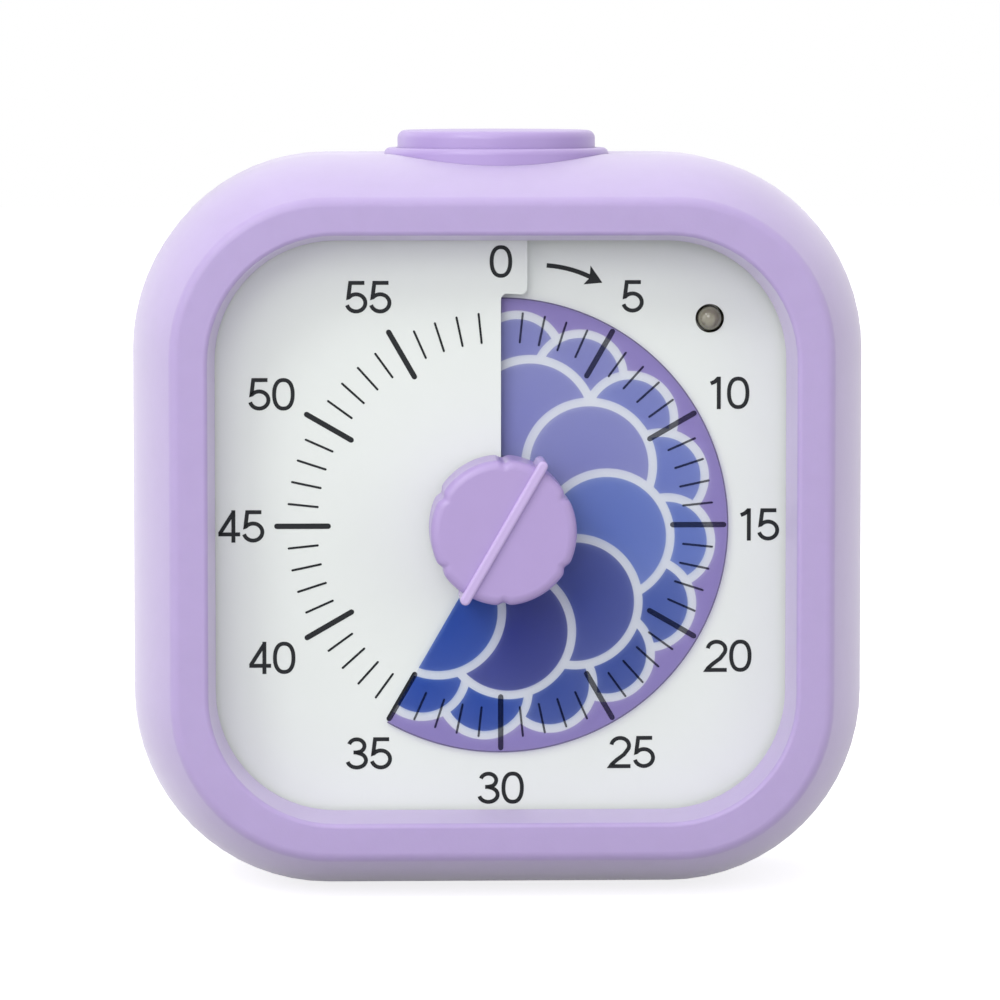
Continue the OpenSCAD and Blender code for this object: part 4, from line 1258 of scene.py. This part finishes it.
def strokes_of(digit):
    """Centrelines of a plain digit in a cell one unit high: points, and whether they close."""
    foot = mm("numeral_stroke") / mm("numeral_height") / 2
    head = 1 - foot
    if digit == "0":
        return [(squarish(0.0, 0.5, 0.255, 0.5 - foot, 44), True)]
    if digit == "1":
        return [([(-0.10, 0.79), (0.02, 0.85), (0.115, 0.955)], False), ([(0.125, 0), (0.125, 1)], False)]
    if digit == "2":
        crown = arc(0.0, 0.70, 0.245, 0.30 - foot, 172, -28, 18)
        return [(crown + [(0.10, 0.42), (-0.10, 0.255), (-0.235, 0.12), (-0.27, foot), (0.285, foot)], False)]
    if digit == "3":
        upper = arc(-0.01, 0.735, 0.215, 0.265 - foot, 165, -62, 16) + [(-0.02, 0.53)]
        lower = [(-0.02, 0.53)] + arc(-0.01, 0.285, 0.255, 0.285 - foot, 68, -168, 20)
        return [(upper, False), ([(-0.10, 0.53), (0.03, 0.53)], False), (lower, False)]
    if digit == "4":
        return [
            ([(0.115, 0), (0.115, 1)], False),
            ([(-0.30, 0.255), (0.30, 0.255)], False),
            ([(0.115, 0.93), (-0.262, 0.27)], False),
        ]
    if digit == "5":
        bowl = arc(-0.005, 0.325, 0.255, 0.325 - foot, 140, -165, 24)
        return [([(0.225, head), (-0.165, head), (-0.215, 0.49)] + bowl, False)]
    raise ValueError(f"no strokes for {digit}")


def squarish(cx, cy, rx, ry, steps):
    """An oval with fuller shoulders than an ellipse, which has powers of 1."""
    power_x, power_y = 0.84, 0.9
    points = []
    for i in range(steps):
        a = 2 * math.pi * i / steps
        c, s = math.cos(a), math.sin(a)
        x = rx * math.copysign(abs(c) ** power_x, c)
        y = ry * math.copysign(abs(s) ** power_y, s)
        points.append((cx + x, cy + y))
    return points


# Width of a digit's cell and the step from digit to digit, as shares of the numerals' height
DIGIT_WIDTH = 1.12
DIGIT_STEP = 0.74
# A 1 leaves room on its left, so a number that starts with one is drawn over to it by this much
ONE_ASIDE = 0.35


def numeral(text, cx, cy):
    """Parts of a printed number centred on a place."""
    height, half = mm("numeral_height"), mm("numeral_stroke") / 2
    advance = DIGIT_STEP * height
    width = DIGIT_WIDTH * height
    parts = []
    for i, digit in enumerate(text):
        x0 = cx + (i - (len(text) - 1) / 2) * advance
        for points, closed in strokes_of(digit):
            place = [(x0 + x * width, cy + (y - 0.5) * height) for x, y in points]
            parts.append(line(place, [half] * len(place), closed))
    return parts


class COUNTDOWN_OT_dial_print(bpy.types.Operator):
    """Print the minute ticks, the numerals and the arrow on the dial card"""

    bl_idname = "countdown.dial_print"
    bl_label = "Dial print"
    bl_options = {"REGISTER", "UNDO"}

    def execute(self, context):
        ink = finish_of("ink")
        fives = [tick(30 * i, mm("five_inner"), mm("five_outer"), mm("five_width")) for i in range(1, 12)]
        minutes = [
            tick(6 * i, mm("minute_inner"), mm("minute_outer"), mm("minute_width"))
            for i in range(1, 60) if i % 5
        ]
        finished(solid("dial_ticks", *fives, *minutes), ink, "housing", crease=20)
        parts = []
        for i in range(12):
            a = math.radians(30 * i)
            r = mm("side_radius") if i in (3, 9) else mm("numeral_radius")
            text = str(5 * i)
            aside = ONE_ASIDE if text[0] == "1" else 0
            parts += numeral(text, r * math.sin(a) - aside, r * math.cos(a))
        finished(solid("dial_numerals", *parts), ink, "housing", crease=20)
        radius = mm("numeral_radius")
        bend = 14.6
        shaft = arc(4.6, radius - 15.1, bend, bend, 86, 64.4, 12)
        head = [(12.4, radius - 2.65), (10.1, radius - 2.85), (10.85, radius - 2.05), (10.95, radius - 0.55)]
        arrow = solid("dial_arrow", line(shaft, [mm("arrow_width") / 2] * len(shaft)), patch(head))
        finished(arrow, ink, "housing", crease=20)
        return {"FINISHED"}


class COUNTDOWN_OT_timer_film(bpy.types.Operator):
    """Build the printed film disc, which screws up through the card's slit"""

    bl_idname = "countdown.timer_film"
    bl_label = "Timer film"
    bl_options = {"REGISTER", "UNDO"}

    def execute(self, context):
        radii = [HUB_R + 0.05, 10, 14, 18, 22, 26, DISC_R]
        plate = helicoid(DISC_TAIL, DISC_LEAD, 2, radii, DISC_GAP + DISC_T, DISC_T)
        film = solid("timer_film", plate)
        finished(film, finish_of("film"), "disc", ["timer_disc"])
        return {"FINISHED"}


# ---------- knob, lamp and button ----------


def knob_outline():
    """The knob's outline with its six soft grip notches."""
    points = []
    count = 540
    pitch = 2 * math.pi / NOTCHES
    for i in range(count):
        a = 2 * math.pi * i / count
        off = (a + pitch / 2) % pitch - pitch / 2
        r = KNOB_R - NOTCH_DEPTH * math.exp(-((off * KNOB_R / NOTCH_R) ** 2))
        points.append((r * math.sin(a), r * math.cos(a)))
    return points[::-1]


class COUNTDOWN_OT_knob(bpy.types.Operator):
    """Build the notched knob with its raised pointer bar"""

    bl_idname = "countdown.knob"
    bl_label = "Knob"
    bl_options = {"REGISTER", "UNDO"}

    def execute(self, context):
        edge = mm("knob_edge")
        outline = knob_outline()
        levels = [(KNOB_BASE, 0.12), (KNOB_BASE - 0.12, 0), (KNOB_FACE + edge, 0)]
        levels += [(KNOB_FACE + cut, drawn) for cut, drawn in quarter(edge, 9)[1:]]
        rings = [[dial(x * (1 - i / KNOB_R), y * (1 - i / KNOB_R), d) for x, y in outline] for d, i in levels]
        knob = solid("set_knob", skin(rings))
        # the knob is hollow behind between its wall and its hub, which grips the spindle's flat
        wall, face_t, past = 1.8, 1.6, KNOB_BASE + 1
        hollow_end = KNOB_FACE + face_t
        outer_r, inner_r = KNOB_R - wall, SPINDLE_R + wall
        ring = [(outer_r, past), (outer_r, hollow_end), (inner_r, hollow_end), (inner_r, past)]
        bore_r = SPINDLE_R + 0.02
        d_flat = SPINDLE_R * 0.7
        chord = math.degrees(math.acos(d_flat / bore_r))
        bore = turned_by(arc(0, 0, bore_r, bore_r, chord, 360 - chord, 40), DISC_LEAD)
        cuts = [turned(ring, facing(), closed=True, steps=72), prism(bore, hollow_end, past)]
        combine(knob, cuts, "DIFFERENCE")
        finished(knob, finish_of("lavender_fine"), "knob", ["knob"])
        top = KNOB_FACE - BAR_H
        round_r = BAR_W / 2 * 0.6
        bar = turned_by(stadium(BAR_L / 2, BAR_W / 2, 12), DISC_LEAD)
        levels = [(KNOB_BASE - 1.2, 0), (top + round_r, 0)]
        levels += [(top + cut, drawn) for cut, drawn in quarter(round_r, 7)[1:]]
        pointer = solid("pointer_bar", stack(bar, levels))
        finished(pointer, finish_of("lavender_polished_painted_highlight"), "knob", ["knob"])
        return {"FINISHED"}


class COUNTDOWN_OT_button(bpy.types.Operator):
    """Build the push button on top, the collar around it and the spring below it"""

    bl_idname = "countdown.button"
    bl_label = "Top button"
    bl_options = {"REGISTER", "UNDO"}

    def execute(self, context):
        put = upright(0, BUTTON_Y)
        low, top = COLLAR[0].z, COLLAR[1].z
        edge = mm("collar_edge")
        lip, foot_edge, guide_r = 0.12, 0.2, 2.35
        floor = low + 1.2
        bore = BUTTON_R + 0.1
        profile = [(guide_r, low), (COLLAR_R - foot_edge, low), (COLLAR_R, low + foot_edge)]
        profile += [(COLLAR_R - drawn, top - cut) for cut, drawn in quarter(edge, 6)]
        profile += [(bore + lip, top), (bore, top - lip), (bore, floor), (guide_r, floor)]
        collar = solid("button_ring", turned(profile, put, closed=True, steps=160))
        finished(collar, finish_of("lavender_fine"), "housing", ["button_collar"])
        edge = mm("button_edge")
        skirt = floor + 1.4
        post_low, top = BUTTON[0].z, BUTTON[1].z
        # the post below the cap has a groove for its clip
        post_r, groove_r, bevel = 2.3, 1.7, 0.1
        groove_low, groove_high = low - 0.9, low - 0.2
        cap_t = 1.6
        inner_r, under = BUTTON_R - cap_t, top - cap_t
        profile = [(0, post_low), (post_r - bevel, post_low), (post_r, post_low + bevel)]
        profile += [(post_r, groove_low), (groove_r, groove_low), (groove_r, groove_high)]
        profile += [(post_r, groove_high), (post_r, under), (inner_r, under), (inner_r, skirt)]
        profile += [(BUTTON_R - bevel, skirt), (BUTTON_R, skirt + bevel)]
        profile += [(BUTTON_R - drawn, top - cut) for cut, drawn in quarter(edge, 8)]
        profile += [(BUTTON_R * 0.5, top), (0, top)]
        button = solid("push_button", turned(profile, put, steps=144))
        finished(button, finish_of("lavender_fine"), "button", ["top_button"])
        wire, turns = 0.25, 4
        r = (SPRING[1].x - SPRING[0].x) / 2 - wire
        helix = coil(put, r, r, SPRING[0].z + wire, SPRING[1].z - wire, turns, wire)
        spring = solid("return_spring", helix)
        finished(spring, finish_of("spring"), "housing", ["button_spring"])
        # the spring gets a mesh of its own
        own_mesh(spring)
        return {"FINISHED"}


class COUNTDOWN_OT_lamp(bpy.types.Operator):
    """Build the indicator lamp's epoxy lens"""

    bl_idname = "countdown.lamp"
    bl_label = "Indicator lamp"
    bl_options = {"REGISTER", "UNDO"}

    def execute(self, context):
        low = LENS[0].y - FRONT
        flange_r, flange_low = LAMP_R + 0.4, CHASSIS_D - 0.95
        dome_steps = 14
        profile = []
        for i in range(dome_steps + 1):
            a = math.pi / 2 * i / dome_steps
            profile.append((LAMP_R * math.sin(a), low + LAMP_R * (1 - math.cos(a))))
        profile += [(LAMP_R, flange_low), (flange_r, flange_low), (flange_r, CHASSIS_D), (0, CHASSIS_D)]
        lamp = solid("indicator_lens", turned(profile, facing(LAMP_X, LAMP_Y), steps=48))
        finished(lamp, finish_of("lamp"), "housing", ["led_lens"])
        return {"FINISHED"}


# ---------- screws, cells and works ----------


class COUNTDOWN_OT_screws(bpy.types.Operator):
    """Build the four housing screws with their threads and cross recesses"""

    bl_idname = "countdown.screws"
    bl_label = "Housing screws"
    bl_options = {"REGISTER", "UNDO"}

    def execute(self, context):
        screw_l, threads, thread_pitch, core_r, thread_r = 12, 24, 0.45, 0.84, 1.1
        tip = HEAD_DEPTH - screw_l
        profile = [(0, tip), (0.5, tip + 0.2)]
        for i in range(threads):
            low = tip + 0.6 + thread_pitch * i
            profile += [(core_r, low), (thread_r, low + 0.22)]
        profile += [(1.05, HEAD_DEPTH), (HEAD_R, HEAD_DEPTH), (HEAD_R, HEAD_DEPTH + 0.7)]
        profile += [(HEAD_R - 0.25, HEAD_DEPTH + 1.15), (HEAD_R - 0.8, HEAD_DEPTH + 1.4)]
        profile.append((0, HEAD_DEPTH + 1.5))
        slot = rounded(1.15, 0.24, 0.08, 2)
        slot_floor, past = HEAD_DEPTH + 0.6, HEAD_DEPTH + 3
        for i, (x, y) in enumerate(corners(SCREW_X, SCREW_Y)):
            put = facing(x, y)
            screw = solid(f"housing_screw_{i + 1}", turned(profile, put, steps=32))
            # each screw stopped at a turn of its own
            turn = 20 + 65 * i
            slots = [prism(turned_by(slot, turn + t), slot_floor, past, put) for t in (0, 90)]
            combine(screw, slots, "DIFFERENCE")
            finished(screw, finish_of("steel"), "housing", ["housing_screws"])
        return {"FINISHED"}


class COUNTDOWN_OT_cells(bpy.types.Operator):
    """Build the two cells in their sleeves and the contact springs behind them"""

    bl_idname = "countdown.cells"
    bl_label = "Cells and contact springs"
    bl_options = {"REGISTER", "UNDO"}

    def execute(self, context):
        r = CELL_D / 2
        contact_room, nub_l, nub_r = 1.1, 1.2, 1.9
        end = BAY_L / 2 - contact_room
        foot = end - CELL_L
        nub = end - nub_l
        for name, side in (("upper", 1), ("lower", -1)):
            put = lying(CELL_Y + side * CELL_PITCH / 2, CELL_DEPTH, side)
            can = [(0, foot), (r - 0.9, foot), (r - 0.4, foot + 0.4), (r - 0.3, nub - 0.4), (r - 1.2, nub)]
            can += [(nub_r, nub), (nub_r, end - 0.2), (nub_r - 0.2, end), (0, end)]
            steel = solid(f"cell_{name}_can", turned(can, put, steps=64))
            finished(steel, finish_of("spring"), "housing", ["battery_cells"])
            # the sleeve shrinks over both ends of the can
            rim, wall = r - 1.0, r - 0.4
            wrap = [(rim, foot + 0.02), (r - 0.35, foot + 0.1), (r, foot + 0.5), (r, nub - 0.5)]
            wrap += [(r - 0.35, nub - 0.05), (rim, nub + 0.05), (rim, nub - 0.1), (wall, nub - 0.6)]
            wrap += [(wall, foot + 0.6), (rim, foot + 0.12)]
            sleeve = solid(f"cell_{name}_sleeve", turned(wrap, put, closed=True, steps=96))
            finished(sleeve, finish_of("sleeve"), "housing", ["battery_cells"])
            plate, plate_t, plate_w, wire = -BAY_L / 2, 0.3, CELL_D - 1.5, 0.28
            blade = prism(rounded(plate_w / 2, plate_w / 2, 0.5, 4), plate, plate + plate_t, put)
            wide_r, narrow_r, turns = 3.6, 2.2, 3.5
            cone = coil(put, wide_r, narrow_r, plate + 0.5, foot - 0.33, turns, wire)
            spring = solid(f"contact_spring_{name}", blade, cone)
            finished(spring, finish_of("spring"), "housing", ["contact_springs"])
        return {"FINISHED"}


WORKS = {
    "black": ["dial_chassis", "buzzer", "tact_switch", "sound_switch"],
    "ivory": ["movement_cover", "movement_base", "disc_hub", "third_wheel", "second_wheel"],
    "steel": ["chassis_screws", "movement_screws", "board_screws", "spindle"],
    "spring": ["led_leads", "contact_plates", "button_clip", "clutch_spring"],
    "brass": ["centre_bush", "mounting_nut", "centre_wheel"],
    "iron": ["motor_stator"],
    "magnet": ["rotor"],
    "copper": ["motor_coil"],
    "board": ["circuit_board"],
}


class COUNTDOWN_OT_works(bpy.types.Operator):
    """Finish the works inside, which keep the frame's shapes"""

    bl_idname = "countdown.works"
    bl_label = "Works inside"
    bl_options = {"REGISTER", "UNDO"}

    def execute(self, context):
        for name, nodes in WORKS.items():
            for node in nodes:
                refinish(node, finish_of(name))
        return {"FINISHED"}


# ---------- stage ----------


# Each soft lamp's name, place in metres around the timer's foot, width in metres and power in watts
LAMPS = [
    ("lamp_above", (-0.15, -0.3, 0.85), 0.7, 1.75),
    ("lamp_front", (-0.3, -0.95, 0.45), 0.5, 2.35),
    ("lamp_above_left", (-0.5, -0.5, 0.7), 0.22, 1.5),
    ("lamp_left", (-0.75, -0.55, 0.3), 0.6, 1.2),
    ("lamp_right", (0.75, -0.6, 0.3), 0.6, 0.65),
    ("lamp_top", (0, 0.25, 0.95), 0.8, 1.0),
    ("lamp_rear_top", (0, 0.7, 0.75), 0.8, 0.9),
    ("lamp_rear_left", (-0.8, 0.6, 0.3), 0.8, 1.2),
    ("lamp_rear_right", (0.8, 0.6, 0.3), 0.8, 0.3),
]
# Light from all round as a share of the backdrop's white, and half the floor's width in metres
AMBIENT = 0.66
FLOOR_HALF = 3.0
# Point on the dial that the camera looks at, in millimetres, how far it stands to the left and
# above, in degrees, and its sensor's width in millimetres
AIM = (-0.06, 3.05)
CAMERA_LEFT = 2.0
CAMERA_ABOVE = 4.5
SENSOR_W = 36


def area_light(name, place, aim, size, power):
    """A soft square lamp at a place in metres, turned to an aim."""
    data = bpy.data.lights.new(name, "AREA")
    data.shape = "SQUARE"
    data.size = size
    data.energy = power
    lamp = bpy.data.objects.new(name, data)
    bpy.context.scene.collection.objects.link(lamp)
    lamp.location = place
    lamp.rotation_euler = (Vector(aim) - Vector(place)).to_track_quat("-Z", "Y").to_euler()


def seen_directly(holder):
    """Socket that is 1 for rays of the camera, reflections and clear materials, otherwise 0."""
    path = add(holder, "ShaderNodeLightPath")
    seen = path.outputs["Is Camera Ray"]
    for kind in ("Is Glossy Ray", "Is Transmission Ray"):
        seen = add(holder, "ShaderNodeMath", {0: seen, 1: path.outputs[kind]}, operation="MAXIMUM").outputs[0]
    return seen


def floor_paint():
    """Pale matt floor. The camera and reflections see it at the backdrop's white, less shadow."""
    finish, shader = new_finish("Pale studio floor", (0.46, 0.46, 0.47, 1), 0.9, Specular_IOR_Level=0.0)
    place = add(finish, "ShaderNodeTexCoord")
    away = add(finish, "ShaderNodeVectorMath", {0: place.outputs["Object"]}, operation="LENGTH")
    # near the timer the floor is dimmed, so that the shadow shows, and 400 mm away it is white
    near, far, dimmed = 0.08, 0.4, 0.8
    fade = add(
        finish,
        "ShaderNodeMapRange",
        {0: away.outputs["Value"], 1: near, 2: far, 3: dimmed, 4: 1.0},
        interpolation_type="SMOOTHSTEP",
    )
    seen = seen_directly(finish)
    glow = add(finish, "ShaderNodeMath", {0: seen, 1: fade.outputs[0]}, operation="MULTIPLY")
    lit = add(finish, "ShaderNodeEmission", {"Color": (1, 1, 1, 1), "Strength": glow.outputs[0]})
    both = add(finish, "ShaderNodeAddShader", {0: shader.outputs[0], 1: lit.outputs[0]})
    link(finish, both.outputs[0], finish.node_tree.nodes["Material Output"].inputs["Surface"])
    return finish


def studio_world():
    """White backdrop for the camera and reflections, and a soft even light from all round."""
    world = bpy.data.worlds.new("Studio")
    world.use_nodes = True
    strength = add(world, "ShaderNodeMapRange", {0: seen_directly(world), 3: AMBIENT, 4: 1.0})
    back = world.node_tree.nodes["Background"]
    back.inputs["Color"].default_value = (1, 1, 1, 1)
    link(world, strength.outputs[0], back.inputs["Strength"])
    return world


class COUNTDOWN_OT_stage(bpy.types.Operator):
    """Set up the floor, the soft lamps and the camera"""

    bl_idname = "countdown.stage"
    bl_label = "Stage"
    bl_options = {"REGISTER", "UNDO"}

    def execute(self, context):
        scene = context.scene
        scene.view_settings.view_transform = "Standard"
        scene.world = studio_world()
        mesh = bpy.data.meshes.new("studio_floor")
        ground = [(x * FLOOR_HALF, y * FLOOR_HALF, 0) for x, y in ((-1, -1), (1, -1), (1, 1), (-1, 1))]
        mesh.from_pydata(ground, [], [(0, 1, 2, 3)])
        floor = bpy.data.objects.new("studio_floor", mesh)
        mesh.materials.append(floor_paint())
        scene.collection.objects.link(floor)
        centre = dial(*AIM, CARD_D) * MM
        for name, place, size, power in LAMPS:
            area_light(name, place, centre, size, power)
        left, above = math.radians(CAMERA_LEFT), math.radians(CAMERA_ABOVE)
        away = math.cos(above)
        back = Vector((-math.sin(left) * away, -math.cos(left) * away, math.sin(above)))
        data = bpy.data.cameras.new("camera")
        camera = bpy.data.objects.new("camera", data)
        scene.collection.objects.link(camera)
        distance = scene.countdown_sizes.camera_distance
        camera.location = centre + back * distance
        camera.rotation_euler = (-back).to_track_quat("-Z", "Y").to_euler()
        data.sensor_width = SENSOR_W
        data.lens = SENSOR_W * distance / scene.countdown_sizes.camera_field
        data.clip_start = 0.01
        data.clip_end = 50
        scene.camera = camera
        return {"FINISHED"}


# ---------- panel, registration and the run ----------


OPERATORS = [
    COUNTDOWN_OT_housing,
    COUNTDOWN_OT_rear_cover,
    COUNTDOWN_OT_battery_door,
    COUNTDOWN_OT_sound_slider,
    COUNTDOWN_OT_dial_card,
    COUNTDOWN_OT_dial_print,
    COUNTDOWN_OT_timer_film,
    COUNTDOWN_OT_knob,
    COUNTDOWN_OT_button,
    COUNTDOWN_OT_lamp,
    COUNTDOWN_OT_screws,
    COUNTDOWN_OT_cells,
    COUNTDOWN_OT_works,
    COUNTDOWN_OT_stage,
]


class COUNTDOWN_PT_panel(bpy.types.Panel):
    """Sizes, colours and build steps of the countdown timer"""

    bl_idname = "COUNTDOWN_PT_panel"
    bl_label = "Countdown Timer"
    bl_space_type = "VIEW_3D"
    bl_region_type = "UI"
    bl_category = "Timer"

    def draw(self, context):
        for operator in OPERATORS:
            self.layout.operator(operator.bl_idname)
        for group in (context.scene.countdown_sizes, context.scene.countdown_colours):
            box = self.layout.box()
            for name in group.__annotations__:
                box.prop(group, name)


CLASSES = [CountdownSizes, CountdownColours, *OPERATORS, COUNTDOWN_PT_panel]


def register():
    """Registers the classes and adds the properties to the scene."""
    for item in CLASSES:
        bpy.utils.register_class(item)
    bpy.types.Scene.countdown_sizes = bpy.props.PointerProperty(type=CountdownSizes)
    bpy.types.Scene.countdown_colours = bpy.props.PointerProperty(type=CountdownColours)


def unregister():
    """Takes the properties and the classes away again."""
    del bpy.types.Scene.countdown_colours
    del bpy.types.Scene.countdown_sizes
    for item in reversed(CLASSES):
        bpy.utils.unregister_class(item)


def main():
    """Builds the whole timer and its stage."""
    register()
    for operator in OPERATORS:
        group, name = operator.bl_idname.split(".")
        getattr(getattr(bpy.ops, group), name)()


if __name__ == "__main__":
    main()
